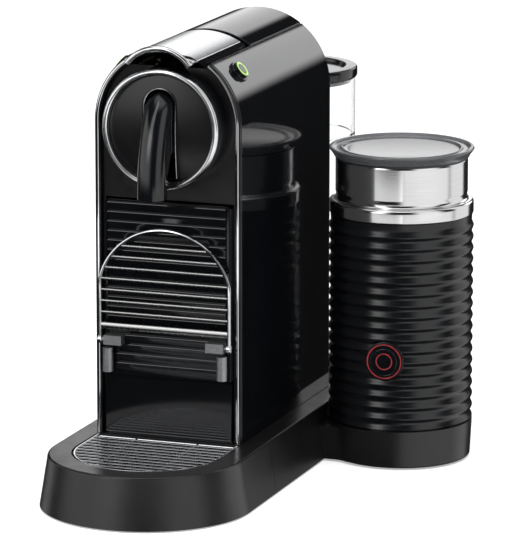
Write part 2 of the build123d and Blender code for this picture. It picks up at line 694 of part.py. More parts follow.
with BuildPart() as toggle_links:
    for link_side in (-1, 1):
        x0 = min(link_side * LINK_IN_X, link_side * (LINK_IN_X + LINK_T))
        rod_x(CAGE_PIN_Y, CAGE_PIN_Z, 3.2, x0, x0 + LINK_T)
        rod_x(KNEE_Y, KNEE_Z, 3.2, x0, x0 + LINK_T)
        rise = KNEE_Z - CAGE_PIN_Z
        run = KNEE_Y - CAGE_PIN_Y
        with BuildSketch(side(x0)):
            with Locations(Location(((KNEE_Y + CAGE_PIN_Y) / 2, (KNEE_Z + CAGE_PIN_Z) / 2, 0),
                                    (0, 0, degrees(atan2(rise, run))))):
                Rectangle(hypot(rise, run), 5.0)
        extrude(amount=LINK_T)
        rod_x(CAGE_PIN_Y, CAGE_PIN_Z, 2.05, x0 - 1, x0 + 3, mode=Mode.SUBTRACT)
toggle_links.part.label = "toggle_links"
export_step(toggle_links.part, "parts/toggle_links.step")

with BuildPart() as capsule_cage:
    rod_y(0, CAGE_Z, CAGE_R, 8.6, 36)
    with BuildSketch(front(8.6)):
        with Locations((0, CAGE_Z)):
            Circle(15.2)
    with BuildSketch(front(32)):
        with Locations((0, CAGE_Z)):
            Circle(11.5)
    loft(mode=Mode.SUBTRACT)
    rod_y(0, CAGE_Z, 4.5, 36, 42)
    rod_y(0, CAGE_Z, 1.6, 30, 43, mode=Mode.SUBTRACT)
    pin_end = LINK_IN_X + LINK_T
    rod_x(CAGE_PIN_Y, CAGE_PIN_Z, 2.0, -pin_end, -12.5)
    rod_x(CAGE_PIN_Y, CAGE_PIN_Z, 2.0, 12.5, pin_end)
    for turn in range(3):
        angle = radians(90 + 120 * turn)
        rod_y(7 * cos(angle), CAGE_Z + 7 * sin(angle), 1.1, 26, 33)
capsule_cage.part.label = "capsule_cage"
export_step(capsule_cage.part, "parts/capsule_cage.step")

# ---- drip drawer ----
BIN_HALF = 40.6
with BuildPart() as drip_tray:
    base_block(0, BASE_LOW_Z, BASE_TOP_Z)
    split(bisect_by=front(SEAM_Y - WALL_GAP), keep=Keep.TOP)
    tray_edges = drip_tray.edges().group_by(Axis.Z)[-1].sort_by(Axis.Y)
    fillet(tray_edges[:-1], 1.5)
    base_block(BASE_WALL, BASE_LOW_Z, BASE_TOP_Z - BASE_WALL, mode=Mode.SUBTRACT)
    with BuildSketch(level(3.7)):
        u_outline(GRID_R + 3, GRID_ROUND_Y, SEAM_Y - WALL_GAP)
    extrude(amount=BASE_TOP_Z - 3.7)
    with BuildSketch(level(5.7)):
        u_outline(GRID_R - 2, GRID_ROUND_Y, 0)
    extrude(amount=40, mode=Mode.SUBTRACT)
    with BuildSketch(level(BASE_TOP_Z - 3.0)):
        u_outline(GRID_R + 0.4, GRID_ROUND_Y, 0)
    extrude(amount=10, mode=Mode.SUBTRACT)
    block(-BIN_HALF, BIN_HALF, 3.2, 84, 4.7, 69)
    block(-BIN_HALF + 2, BIN_HALF - 2, 5.2, 82, 6.7, 80, mode=Mode.SUBTRACT)
    block(-30, 30, -2, 6, 8, 24, mode=Mode.SUBTRACT)
drip_tray.part.label = "drip_tray"
export_step(drip_tray.part, "parts/drip_tray.step")

with BuildPart() as lower_panel:
    with BuildSketch(front(3.0)):
        with Locations((0, (34 + PANEL_LOW_Z - 0.4) / 2)):
            RectangleRounded(2 * PANEL_HALF, PANEL_LOW_Z - 0.4 - 34, 1.5)
    extrude(amount=2.6)
lower_panel.part.label = "lower_panel"
export_step(lower_panel.part, "parts/lower_panel.step")

GRID_Z = BASE_TOP_Z - 0.6
with BuildPart() as drip_grid:
    with BuildSketch(level(GRID_Z - 1.7)):
        u_outline(GRID_R, GRID_ROUND_Y, GRID_REAR_Y)
    extrude(amount=2.6)
    with BuildSketch(level(GRID_Z - 5)):
        u_outline(GRID_R - 2.4, GRID_ROUND_Y, GRID_REAR_Y - 2.4)
    extrude(amount=10, mode=Mode.SUBTRACT)
    bar_y = GRID_REAR_Y - 2.4 - GRID_PITCH
    while bar_y > GRID_ROUND_Y - GRID_R + 4:
        over = max(0.0, GRID_ROUND_Y - bar_y)
        bar_half = ((GRID_R - 1.2) ** 2 - over**2) ** 0.5
        rod_x(bar_y, GRID_Z, GRID_WIRE_R, -bar_half, bar_half)
        bar_y -= GRID_PITCH
    rod_y(-20, GRID_Z - 1.2, GRID_WIRE_R, GRID_ROUND_Y - 40, GRID_REAR_Y - 1)
    rod_y(20, GRID_Z - 1.2, GRID_WIRE_R, GRID_ROUND_Y - 40, GRID_REAR_Y - 1)
drip_grid.part.label = "drip_grid"
export_step(drip_grid.part, "parts/drip_grid.step")

# ---- used capsule container ----
with BuildPart() as capsule_container:
    with BuildSketch(level(PANEL_LOW_Z + 0.3)):
        with Locations((0, 40.6)):
            RectangleRounded(2 * BIN_HALF, 79.6, 5)
    extrude(amount=107)
    with BuildSketch(level(PANEL_LOW_Z + 2.6)):
        with Locations((0, 40.6)):
            RectangleRounded(2 * BIN_HALF - 4, 75.6, 3.5)
    extrude(amount=120, mode=Mode.SUBTRACT)
capsule_container.part.label = "capsule_container"
export_step(capsule_container.part, "parts/capsule_container.step")

with BuildPart() as louvre_panel:
    with BuildSketch(front(0.8)):
        with Locations((0, (PANEL_LOW_Z + PANEL_TOP_Z) / 2)):
            RectangleRounded(2 * PANEL_HALF, PANEL_TOP_Z - PANEL_LOW_Z - 0.4, 3)
    extrude(amount=3.2)
    for slat in range(LOUVRE_COUNT):
        slat_z = PANEL_LOW_Z + 3.2 + slat * LOUVRE_PITCH
        with BuildSketch(side(-PANEL_HALF + 2.6)):
            with BuildLine():
                Polyline([(-3.4, slat_z), (-3.4, slat_z + 4.7), (-2.4, slat_z + 4.7),
                          (-0.9, slat_z), (-3.4, slat_z)])
            make_face()
        extrude(amount=2 * PANEL_HALF - 5.2, mode=Mode.SUBTRACT)
louvre_panel.part.label = "louvre_panel"
export_step(louvre_panel.part, "parts/louvre_panel.step")

with BuildPart() as support_hinge:
    for hinge_side in (-1, 1):
        block(min(hinge_side * 27.5, hinge_side * 39.2), max(hinge_side * 27.5, hinge_side * 39.2),
              SUPPORT_PIVOT_Y - 2.6, -2.4, 91.2, 97.0)
        rod_x(SUPPORT_PIVOT_Y, SUPPORT_PIVOT_Z, 1.5, min(hinge_side * 38, hinge_side * 43.2),
              max(hinge_side * 38, hinge_side * 43.2))
        rod_z(hinge_side * 37.2, -5.6, 3.2, 74, 89)
support_hinge.part.label = "support_hinge"
export_step(support_hinge.part, "parts/support_hinge.step")

RAIL_IN = SUPPORT_HALF - SUPPORT_RAIL
SUPPORT_T = 3.6
with BuildPart() as cup_support:
    for inset, mode in ((0, Mode.ADD), (SUPPORT_RAIL, Mode.SUBTRACT)):
        half = SUPPORT_HALF - inset
        with BuildSketch(front(SUPPORT_PIVOT_Y + SUPPORT_T / 2)):
            with BuildLine():
                Line((half, SUPPORT_PIVOT_Z - inset * 2), (half, SUPPORT_ARC_LOW_Z))
                ThreePointArc((half, SUPPORT_ARC_LOW_Z), (0, SUPPORT_TOP_Z - inset),
                              (-half, SUPPORT_ARC_LOW_Z))
                Line((-half, SUPPORT_ARC_LOW_Z), (-half, SUPPORT_PIVOT_Z - inset * 2))
                Line((-half, SUPPORT_PIVOT_Z - inset * 2), (half, SUPPORT_PIVOT_Z - inset * 2))
            make_face()
        extrude(amount=SUPPORT_T, mode=mode)
    for rail_side in (-1, 1):
        rail_low = min(rail_side * RAIL_IN, rail_side * SUPPORT_HALF)
        rod_x(SUPPORT_PIVOT_Y, SUPPORT_PIVOT_Z, 2.6, rail_low, rail_low + SUPPORT_RAIL)
    block(-RAIL_IN - 0.5, RAIL_IN + 0.5, SUPPORT_PIVOT_Y - 1.8, SUPPORT_PIVOT_Y + 1.8, 100.5, 105.0)
    bar_z = 103.0 + SUPPORT_BAR_PITCH
    arc_r = (SUPPORT_HALF**2 + (SUPPORT_TOP_Z - SUPPORT_ARC_LOW_Z) ** 2) / (
        2 * (SUPPORT_TOP_Z - SUPPORT_ARC_LOW_Z))
    while bar_z < SUPPORT_TOP_Z - 6:
        bar_rise = max(0.0, bar_z - (SUPPORT_TOP_Z - arc_r))
        bar_half = min(SUPPORT_HALF, (arc_r**2 - bar_rise**2) ** 0.5) - 1.5
        block(-bar_half, bar_half, SUPPORT_PIVOT_Y - 0.9, SUPPORT_PIVOT_Y + 1.1,
              bar_z - 1.3, bar_z + 1.3)
        bar_z += SUPPORT_BAR_PITCH
    rod_x(SUPPORT_PIVOT_Y, SUPPORT_PIVOT_Z, 1.56, -SUPPORT_HALF - 1, SUPPORT_HALF + 1,
          mode=Mode.SUBTRACT)
cup_support.part.label = "cup_support"
export_step(cup_support.part, "parts/cup_support.step")

# ---- water tank ----
with BuildPart() as tank_dock:
    with BuildSketch(TANK_PROFILE):
        with BuildLine():
            Polyline([(5.0, BASE_TOP_Z), (DOCK_R, BASE_TOP_Z), (DOCK_R, 44), (TANK_R + 0.5, 44),
                      (TANK_R + 0.5, 37.6), (5.0, 37.6), (5.0, BASE_TOP_Z)])
        make_face()
    revolve(axis=TANK_AXIS)
    block(-6, 6, 181, 200, 40, 50, mode=Mode.SUBTRACT)
tank_dock.part.label = "tank_dock"
export_step(tank_dock.part, "parts/tank_dock.step")

with BuildPart() as dock_fitting:
    with BuildSketch(TANK_PROFILE):
        with BuildLine():
            Polyline([(0, 24), (4.9, 24), (4.9, 37.4), (1.4, 37.4), (1.4, 38.7), (0, 38.7), (0, 24)])
        make_face()
    revolve(axis=TANK_AXIS)
dock_fitting.part.label = "dock_fitting"
export_step(dock_fitting.part, "parts/dock_fitting.step")

with BuildPart() as water_tank:
    with BuildSketch(TANK_PROFILE):
        with BuildLine():
            Polyline([(3.0, TANK_LOW_Z), (TANK_R - 3, TANK_LOW_Z), (TANK_R, TANK_LOW_Z + 3),
                      (TANK_R, TANK_RIM_Z), (TANK_R - TANK_WALL, TANK_RIM_Z),
                      (TANK_R - TANK_WALL, TANK_LOW_Z + 4), (TANK_R - TANK_WALL - 2, TANK_LOW_Z + 2.4),
                      (3.0, TANK_LOW_Z + 2.4), (3.0, TANK_LOW_Z)])
        make_face()
    revolve(axis=TANK_AXIS)
water_tank.part.label = "water_tank"
export_step(water_tank.part, "parts/water_tank.step")

with BuildPart() as tank_valve:
    with BuildSketch(TANK_PROFILE):
        with BuildLine():
            Polyline([(0, 39), (2.4, 39), (2.4, 44.2), (6.5, 44.2), (6.5, 46.8), (0, 46.8), (0, 39)])
        make_face()
    revolve(axis=TANK_AXIS)
tank_valve.part.label = "tank_valve"
export_step(tank_valve.part, "parts/tank_valve.step")

with BuildPart() as tank_lid:
    with BuildSketch(TANK_PROFILE):
        with BuildLine():
            Polyline([(0, 224.4), (TANK_R - 6, 224.4), (TANK_R - 5, 222.6), (TANK_LID_R - 0.6, 222.6),
                      (TANK_LID_R, 223.4), (TANK_LID_R, TANK_TOP_Z - 1), (TANK_LID_R - 1, TANK_TOP_Z),
                      (TANK_R - 5, TANK_TOP_Z), (TANK_R - 7, TANK_TOP_Z - 2.2),
                      (0, TANK_TOP_Z - 2.2), (0, 224.4)])
        make_face()
        ring_profile(TANK_R - TANK_WALL - 2.6, TANK_R - TANK_WALL - 0.4, 215, 225)
    revolve(axis=TANK_AXIS)
tank_lid.part.label = "tank_lid"
export_step(tank_lid.part, "parts/tank_lid.step")

# ---- frother stand ----
with BuildPart() as frother_stand:
    with BuildSketch(JUG_PROFILE):
        with BuildLine():
            Polyline([(0, 1.4), (JUG_R - 1.8, 1.4), (JUG_R - 1.2, 2.2), (JUG_R, STAND_TOP_Z),
                      (STAND_IN_R, STAND_TOP_Z), (STAND_IN_R, 8.2), (0, 8.2), (0, 1.4)])
        make_face()
    revolve(axis=JUG_AXIS)
    with BuildSketch(level(1.4)):
        with BuildLine():
            Polyline([(BASE_HALF - 6, 101.5), (JUG_X - 31, 101.5)])
            ThreePointArc((JUG_X - 31, 101.5), (JUG_X - 27, 100.6), (JUG_X - 22, 97.5))
            Line((JUG_X - 22, 97.5), (JUG_X - 22, 2 * JUG_Y - 97.5))
            ThreePointArc((JUG_X - 22, 2 * JUG_Y - 97.5), (JUG_X - 27, 2 * JUG_Y - 100.6),
                          (JUG_X - 31, 2 * JUG_Y - 101.5))
            Polyline([(JUG_X - 31, 2 * JUG_Y - 101.5), (BASE_HALF - 6, 2 * JUG_Y - 101.5),
                      (BASE_HALF - 6, 101.5)])
        make_face()
    extrude(amount=21)
    rod_z(JUG_X, JUG_Y, STAND_IN_R, 8.2, 40, mode=Mode.SUBTRACT)
    base_block(-0.1, BASE_LOW_Z - 0.5, BASE_TOP_Z, mode=Mode.SUBTRACT)
frother_stand.part.label = "frother_stand"
export_step(frother_stand.part, "parts/frother_stand.step")

with BuildPart() as stand_connector:
    rod_z(JUG_X, JUG_Y, 10.0, 8.2, 13.0)
    rod_z(JUG_X, JUG_Y, 4.0, 13.0, 16.5)
    with BuildSketch(jug_level(11.0)):
        Circle(7.4)
        Circle(6.0, mode=Mode.SUBTRACT)
    extrude(amount=3, mode=Mode.SUBTRACT)
stand_connector.part.label = "stand_connector"
export_step(stand_connector.part, "parts/stand_connector.step")

# ---- frother jug ----
JUG_LOW_R = 42.8
SLEEVE_IN_R = 41.4
with BuildPart() as frother_jug:
    with BuildSketch(JUG_PROFILE):
        with BuildLine():
            Polyline([(SLEEVE_IN_R, 8.6), (JUG_LOW_R, 8.6), (JUG_LOW_R, STAND_TOP_Z + 0.8),
                      (JUG_R - 1.6, STAND_TOP_Z + 1.2)])
            rib_start = (JUG_R - 1.6, STAND_TOP_Z + 1.2)
            for rib in range(RIB_COUNT + 1):
                rib_end = (JUG_R - RIB_DEPTH, RIB_LOW_Z + rib * RIB_PITCH)
                middle = (JUG_R, (rib_start[1] + rib_end[1]) / 2)
                ThreePointArc(rib_start, middle, rib_end)
                rib_start = rib_end
            Polyline([rib_start, (JUG_R - RIB_DEPTH, NECK_LOW_Z - 0.3), (SLEEVE_IN_R, NECK_LOW_Z - 0.3),
                      (SLEEVE_IN_R, 8.6)])
        make_face()
    revolve(axis=JUG_AXIS)
    with BuildSketch(jug_button_plane(JUG_R + 5)):
        Circle(12.4)
    extrude(amount=-12, mode=Mode.SUBTRACT)
frother_jug.part.label = "frother_jug"
export_step(frother_jug.part, "parts/frother_jug.step")

with BuildPart() as jug_bottom:
    with BuildSketch(JUG_PROFILE):
        ring_profile(10.6, SLEEVE_IN_R - 0.1, 8.6, 11.0)
        ring_profile(10.6, 12.6, 11.0, 18.5)
        ring_profile(0, 10.7, 17.0, 18.5)
    revolve(axis=JUG_AXIS)
jug_bottom.part.label = "jug_bottom"
export_step(jug_bottom.part, "parts/jug_bottom.step")

with BuildPart() as frother_neck:
    with BuildSketch(JUG_PROFILE):
        with BuildLine():
            Line((39.8, NECK_LOW_Z), (JUG_R - 0.4, NECK_LOW_Z))
            ThreePointArc((JUG_R - 0.4, NECK_LOW_Z), (JUG_R, NECK_LOW_Z + 2.6),
                          (JUG_R - 1.4, NECK_LOW_Z + 7.0))
            ThreePointArc((JUG_R - 1.4, NECK_LOW_Z + 7.0), (JUG_NECK_R + 0.9, NECK_LOW_Z + 9.0),
                          (JUG_NECK_R, NECK_LOW_Z + 12.4))
            Polyline([(JUG_NECK_R, NECK_LOW_Z + 12.4), (JUG_NECK_R, JUG_RIM_Z - 1.2),
                      (39.8, JUG_RIM_Z - 1.2), (39.8, NECK_LOW_Z)])
        make_face()
    revolve(axis=JUG_AXIS)
frother_neck.part.label = "frother_neck"
export_step(frother_neck.part, "parts/frother_neck.step")

POT_FLOOR_Z = 60.0
with BuildPart() as frother_pot:
    with BuildSketch(JUG_PROFILE):
        with BuildLine():
            Polyline([(0, POT_FLOOR_Z), (34, POT_FLOOR_Z)])
            ThreePointArc((34, POT_FLOOR_Z), (37.9, POT_FLOOR_Z + 1.6), (39.5, POT_FLOOR_Z + 5.5))
            Polyline([(39.5, POT_FLOOR_Z + 5.5), (39.5, JUG_RIM_Z - 1.2), (41.6, JUG_RIM_Z - 1.2),
                      (41.6, JUG_RIM_Z - 0.2), (38.5, JUG_RIM_Z - 0.2), (38.5, POT_FLOOR_Z + 5.5)])
            ThreePointArc((38.5, POT_FLOOR_Z + 5.5), (37.2, POT_FLOOR_Z + 2.3),
                          (34, POT_FLOOR_Z + 1.0))
            Polyline([(34, POT_FLOOR_Z + 1.0), (0, POT_FLOOR_Z + 1.0), (0, POT_FLOOR_Z)])
        make_face()
    revolve(axis=JUG_AXIS)
frother_pot.part.label = "frother_pot"
export_step(frother_pot.part, "parts/frother_pot.step")

with BuildPart() as pot_heater:
    with BuildSketch(JUG_PROFILE):
        ring_profile(22, 33, POT_FLOOR_Z - 4, POT_FLOOR_Z)
    revolve(axis=JUG_AXIS)
pot_heater.part.label = "pot_heater"
export_step(pot_heater.part, "parts/pot_heater.step")

with BuildPart() as frother_motor:
    rod_z(JUG_X, JUG_Y, 17.0, 21, 47)
    rod_z(JUG_X, JUG_Y, 6.0, 18.5, 21)
    rod_z(JUG_X, JUG_Y, 2.05, 40, 48, mode=Mode.SUBTRACT)
frother_motor.part.label = "frother_motor"
export_step(frother_motor.part, "parts/frother_motor.step")

with BuildPart() as magnet_rotor:
    rod_z(JUG_X, JUG_Y, 2.0, 41, 50)
    with BuildSketch(jug_level(50)):
        RectangleRounded(30, 12, 3)
    extrude(amount=6)
magnet_rotor.part.label = "magnet_rotor"
export_step(magnet_rotor.part, "parts/magnet_rotor.step")

with BuildPart() as whisk:
    rod_z(JUG_X, JUG_Y, 8.0, POT_FLOOR_Z + 1.6, POT_FLOOR_Z + 6)
    rod_z(JUG_X, JUG_Y, 3.0, POT_FLOOR_Z + 6, POT_FLOOR_Z + 16)
    with BuildSketch(JUG_PROFILE):
        with Locations((13.0, POT_FLOOR_Z + 5.0)):
            Circle(2.2)
    revolve(axis=JUG_AXIS)
    with BuildSketch(jug_level(POT_FLOOR_Z + 3.6)):
        with PolarLocations(0, 4):
            Rectangle(24, 2.4)
    extrude(amount=2.4)
whisk.part.label = "whisk"
export_step(whisk.part, "parts/whisk.step")

with BuildPart() as frother_lid:
    with BuildSketch(JUG_PROFILE):
        with BuildLine():
            Polyline([(0, JUG_TOP_Z - 2.6), (40.0, JUG_TOP_Z - 2.6), (40.6, JUG_RIM_Z + 0.2),
                      (JUG_R - 0.8, JUG_RIM_Z + 0.2)])
            ThreePointArc((JUG_R - 0.8, JUG_RIM_Z + 0.2), (JUG_R - 0.25, JUG_RIM_Z + 0.45),
                          (JUG_R, JUG_RIM_Z + 1.0))
            Line((JUG_R, JUG_RIM_Z + 1.0), (JUG_R, JUG_TOP_Z - 2.0))
            ThreePointArc((JUG_R, JUG_TOP_Z - 2.0), (JUG_R - 0.6, JUG_TOP_Z - 0.6),
                          (JUG_R - 2.0, JUG_TOP_Z))
            Polyline([(JUG_R - 2.0, JUG_TOP_Z), (0, JUG_TOP_Z), (0, JUG_TOP_Z - 2.6)])
        make_face()
    revolve(axis=JUG_AXIS)
frother_lid.part.label = "frother_lid"
export_step(frother_lid.part, "parts/frother_lid.step")

with BuildPart() as lid_seal:
    with BuildSketch(JUG_PROFILE):
        ring_profile(35.6, 37.4, 186, JUG_TOP_Z - 2.6)
        ring_profile(37.4, 38.2, 188, 190)
    revolve(axis=JUG_AXIS)
lid_seal.part.label = "lid_seal"
export_step(lid_seal.part, "parts/lid_seal.step")

with BuildPart() as button_bezel:
    with BuildSketch(jug_button_plane(JUG_R - 3.8)):
        Circle(12.3)
        Circle(8.6, mode=Mode.SUBTRACT)
    extrude(amount=4.4)
button_bezel.part.label = "button_bezel"
export_step(button_bezel.part, "parts/button_bezel.step")

with BuildPart() as frother_button:
    with BuildSketch(jug_button_plane(JUG_R - 2.4)):
        Circle(8.3)
    extrude(amount=3.4)
    fillet(frother_button.faces().sort_by(Axis.Y)[0].edges(), 0.5)
frother_button.part.label = "frother_button"
export_step(frother_button.part, "parts/frother_button.step")

print("origin offset", round(X_MID, 3), round(Y_MID, 3), "cage pin", round(CAGE_PIN_Y, 3))
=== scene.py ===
import json
from math import atan2, cos, pi, radians, sin

import bmesh
import bpy
import numpy as np
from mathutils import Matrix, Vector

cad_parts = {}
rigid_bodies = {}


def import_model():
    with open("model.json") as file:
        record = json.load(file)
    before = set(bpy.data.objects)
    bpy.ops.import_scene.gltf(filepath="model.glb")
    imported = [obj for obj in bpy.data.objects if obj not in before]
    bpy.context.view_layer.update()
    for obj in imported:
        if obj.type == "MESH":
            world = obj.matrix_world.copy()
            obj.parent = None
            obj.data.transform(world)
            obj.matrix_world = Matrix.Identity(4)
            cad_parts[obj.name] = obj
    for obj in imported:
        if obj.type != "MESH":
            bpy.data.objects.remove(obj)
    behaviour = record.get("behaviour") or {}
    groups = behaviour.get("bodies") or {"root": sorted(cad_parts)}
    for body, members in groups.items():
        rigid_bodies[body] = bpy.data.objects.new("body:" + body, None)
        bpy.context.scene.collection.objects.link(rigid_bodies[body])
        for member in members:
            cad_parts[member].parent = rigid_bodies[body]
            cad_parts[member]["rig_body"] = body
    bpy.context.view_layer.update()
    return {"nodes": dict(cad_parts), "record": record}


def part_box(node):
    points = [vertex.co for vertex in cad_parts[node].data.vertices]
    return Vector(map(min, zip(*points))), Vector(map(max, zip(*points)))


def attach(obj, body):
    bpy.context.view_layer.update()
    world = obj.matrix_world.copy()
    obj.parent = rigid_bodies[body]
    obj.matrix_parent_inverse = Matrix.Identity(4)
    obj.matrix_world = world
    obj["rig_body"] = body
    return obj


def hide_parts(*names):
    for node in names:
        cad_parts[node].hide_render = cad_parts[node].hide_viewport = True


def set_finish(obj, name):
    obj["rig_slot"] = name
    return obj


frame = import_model()
MM = 0.001
TAU = 2 * pi
WELD_REACH = 2e-6
SHARP_ANGLE = 30


# ---- where things are, read from the frame ----
def span(node):
    """Lowest and highest corner of a CAD node as arrays, in metres."""
    low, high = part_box(node)
    return np.array(low), np.array(high)


TRIM_LOW, TRIM_HIGH = span("edge_trim")
NECK_LOW, NECK_HIGH = span("frother_neck")
TANK_LOW, TANK_HIGH = span("tank_lid")
MACHINE = np.array([(TRIM_LOW[0] + TRIM_HIGH[0]) / 2, TRIM_LOW[1], 0.0])
JUG = np.array([(NECK_LOW[0] + NECK_HIGH[0]) / 2, (NECK_LOW[1] + NECK_HIGH[1]) / 2, 0.0])
TANK = np.array([(TANK_LOW[0] + TANK_HIGH[0]) / 2, (TANK_LOW[1] + TANK_HIGH[1]) / 2, 0.0])


# ---- materials ----
def linear(code):
    """An sRGB hex colour as linear RGBA."""
    srgb = [int(code[i:i + 2], 16) / 255 for i in (1, 3, 5)]
    rgb = [c / 12.92 if c <= 0.04045 else ((c + 0.055) / 1.055) ** 2.4 for c in srgb]
    return (*rgb, 1.0)


def add(tree, kind, inputs=None, **settings):
    """One node: settings are its properties, inputs are socket values or the sockets linked to them."""
    node = tree.nodes.new(kind)
    for key, value in settings.items():
        setattr(node, key, value)
    for key, value in (inputs or {}).items():
        if isinstance(value, bpy.types.NodeSocket):
            tree.links.new(value, node.inputs[key])
        else:
            node.inputs[key].default_value = value
    return node


def new_material(name, **sockets):
    """A Principled material with plain socket values, ready for its patterns."""
    material = bpy.data.materials.new(name)
    material.use_nodes = True
    tree = material.node_tree
    tree.nodes.clear()
    shader = add(tree, "ShaderNodeBsdfPrincipled", {k.replace("_", " "): v for k, v in sockets.items()})
    add(tree, "ShaderNodeOutputMaterial", {"Surface": shader.outputs[0]})
    place = add(tree, "ShaderNodeTexCoord").outputs["Object"]
    return material, tree, shader, place


def noise(tree, place, size_mm, detail=3.0, roughness=0.5):
    """Noise whose blotches are about size_mm across."""
    inputs = {"Vector": place, "Scale": 1 / (size_mm * MM), "Detail": detail, "Roughness": roughness}
    return add(tree, "ShaderNodeTexNoise", inputs).outputs["Fac"]


def ranged(tree, value, low, high, start=0.3, end=0.7):
    """The part of value between start and end, spread over low to high."""
    inputs = {"Value": value, "From Min": start, "From Max": end, "To Min": low, "To Max": high}
    return add(tree, "ShaderNodeMapRange", inputs).outputs[0]


def tinted(tree, value, dark, light):
    """A colour between two hex values."""
    ramp = add(tree, "ShaderNodeValToRGB", {"Fac": value})
    ramp.color_ramp.elements[0].position = 0.3
    ramp.color_ramp.elements[1].position = 0.7
    ramp.color_ramp.elements[0].color = linear(dark)
    ramp.color_ramp.elements[1].color = linear(light)
    return ramp.outputs[0]


def relief(tree, shader, height, depth_mm, strength=1.0):
    """A bump of that depth on the shader."""
    inputs = {"Height": height, "Distance": depth_mm * MM, "Strength": strength}
    tree.links.new(add(tree, "ShaderNodeBump", inputs).outputs[0], shader.inputs["Normal"])


def moulded(name, dark, light, smooth, rough, grain_mm, depth_mm, ior=1.5):
    """Moulded plastic: two close tones in slow clouds, a roughness that drifts, and the mould's grain."""
    material, tree, shader, place = new_material(name, IOR=ior)
    clouds = noise(tree, place, 28, 4)
    tree.links.new(tinted(tree, clouds, dark, light), shader.inputs["Base Color"])
    wiped = noise(tree, place, 11, 5, 0.6)
    tree.links.new(ranged(tree, wiped, smooth, rough), shader.inputs["Roughness"])
    relief(tree, shader, noise(tree, place, grain_mm, 2), depth_mm)
    return material


def metal(name, dark, light, smooth, rough, stretch=(1, 1, 1), size_mm=6.0, depth_mm=0.002):
    """Plated, painted or brushed metal: tone and roughness drift along streaks stretched by stretch."""
    material, tree, shader, place = new_material(name, Metallic=1.0)
    lined = add(tree, "ShaderNodeMapping", {"Vector": place, "Scale": stretch}).outputs[0]
    streaks = noise(tree, lined, size_mm, 4)
    tree.links.new(tinted(tree, streaks, dark, light), shader.inputs["Base Color"])
    tree.links.new(ranged(tree, streaks, smooth, rough), shader.inputs["Roughness"])
    relief(tree, shader, streaks, depth_mm)
    return material


def clear_plastic(name, colour, rough, ior, passing=1.0):
    """Clear moulded plastic: light passes, with faint flow ripples from the mould."""
    material, tree, shader, place = new_material(
        name, Base_Color=linear(colour), Roughness=rough, IOR=ior, Transmission_Weight=passing)
    relief(tree, shader, noise(tree, place, 14, 2), 0.01)
    return material


# Piano-black ABS: a mirror-smooth mould, so lamps show as sharp shapes with a slight orange peel.
PIANO_BLACK = moulded("piano_black_abs", "#07080a", "#0a0b0e", 0.035, 0.075, 9.0, 0.004, 1.52)
# Charcoal ABS from a spark-eroded mould: fine even grain that spreads lamps into soft bands.
CHARCOAL = moulded("satin_charcoal_abs", "#0e0e0f", "#131314", 0.27, 0.34, 0.8, 0.005)
# Satin ABS of the fascia and the disc: smoother than the base, still not a mirror.
SATIN_BLACK = moulded("satin_black_abs", "#0a0a0b", "#0e0e10", 0.2, 0.27, 0.8, 0.002)
# Polished black ABS of drum, spout and louvres.
GLOSS_BLACK = moulded("gloss_black_abs", "#08090b", "#0c0d10", 0.07, 0.12, 6.0, 0.003)
# Silicone-coated elastomer sleeve: soft sheen over a fine tooth.
SLEEVE = moulded("satin_elastomer", "#08090b", "#0d0e11", 0.2, 0.27, 0.7, 0.002, 1.48)
# Moulded rubber: dull and dusty at the edges.
RUBBER = moulded("moulded_rubber", "#1b1b1c", "#242425", 0.6, 0.75, 1.2, 0.02)
# Silicone seals: softer and paler than rubber.
SILICONE = moulded("moulded_silicone", "#2b2b2c", "#343435", 0.42, 0.5, 1.5, 0.01, 1.42)
# Glass-filled nylon: fibres just under the skin make it mottled and dull.
NYLON = moulded("glass_filled_nylon", "#26272a", "#34363a", 0.42, 0.58, 1.6, 0.02)
# Non-stick coating: sprayed, with a fine pebbled skin.
NONSTICK = moulded("sprayed_nonstick", "#232427", "#2e2f33", 0.38, 0.5, 1.1, 0.015)
# Glass-epoxy board: green resist over woven glass.
BOARD = moulded("glass_epoxy_board", "#0c3a1d", "#124a27", 0.25, 0.35, 2.0, 0.01)
# Clear silicone hose: milky.
HOSE = moulded("milky_silicone_hose", "#b9b9b0", "#c9c9c2", 0.3, 0.42, 3.0, 0.01, 1.42)
# Chromium plating on polished ABS: near-white mirror.
CHROME = metal("chromium_plating", "#d4d5d8", "#e2e3e5", 0.03, 0.07)
# Satin chromium plating of the head ring: the same plating over a blasted surface.
SATIN_CHROME = metal("satin_chromium_plating", "#dcdde0", "#e9eaec", 0.17, 0.23, (1, 1, 1), 3.0)
# Silver paint on the arch's edge: fine flakes under lacquer.
SILVER_PAINT = metal("silver_paint", "#b4b5b8", "#c6c7ca", 0.22, 0.3, (1, 1, 1), 0.8)
# Anodised aluminium, blasted then brushed along the lever.
ANODISED = metal("satin_anodised_aluminium", "#dedfe1", "#e8e9eb", 0.24, 0.28, (1, 0.04, 1), 0.9, 0.0003)
# Bright nickel-chrome on drawn steel wire.
WIRE = metal("plated_steel_wire", "#c9cacd", "#dcdde0", 0.06, 0.13, (1, 1, 1), 5.0)
# Stainless steel brushed around the neck: ridges far finer than they are long.
BRUSHED = metal("brushed_stainless", "#cfcfd0", "#dededf", 0.1, 0.16, (0.05, 0.05, 8), 1.2, 0.0035)
# Rolled stainless steel.
STEEL = metal("rolled_stainless", "#8f8f8f", "#a0a09f", 0.18, 0.3, (1, 1, 0.08), 1.2)
# Die-cast aluminium: a dull frosty skin.
CAST = metal("die_cast_aluminium", "#8f9092", "#a7a8aa", 0.4, 0.55, (1, 1, 1), 2.0, 0.03)
# Enamelled copper winding and brass fittings.
COPPER = metal("enamelled_copper", "#8a5a2c", "#a87238", 0.25, 0.4, (1, 1, 9), 4.0, 0.03)
# Clear copolyester of the water tank.
CLEAR = clear_plastic("clear_copolyester", "#fafbfb", 0.015, 1.5)
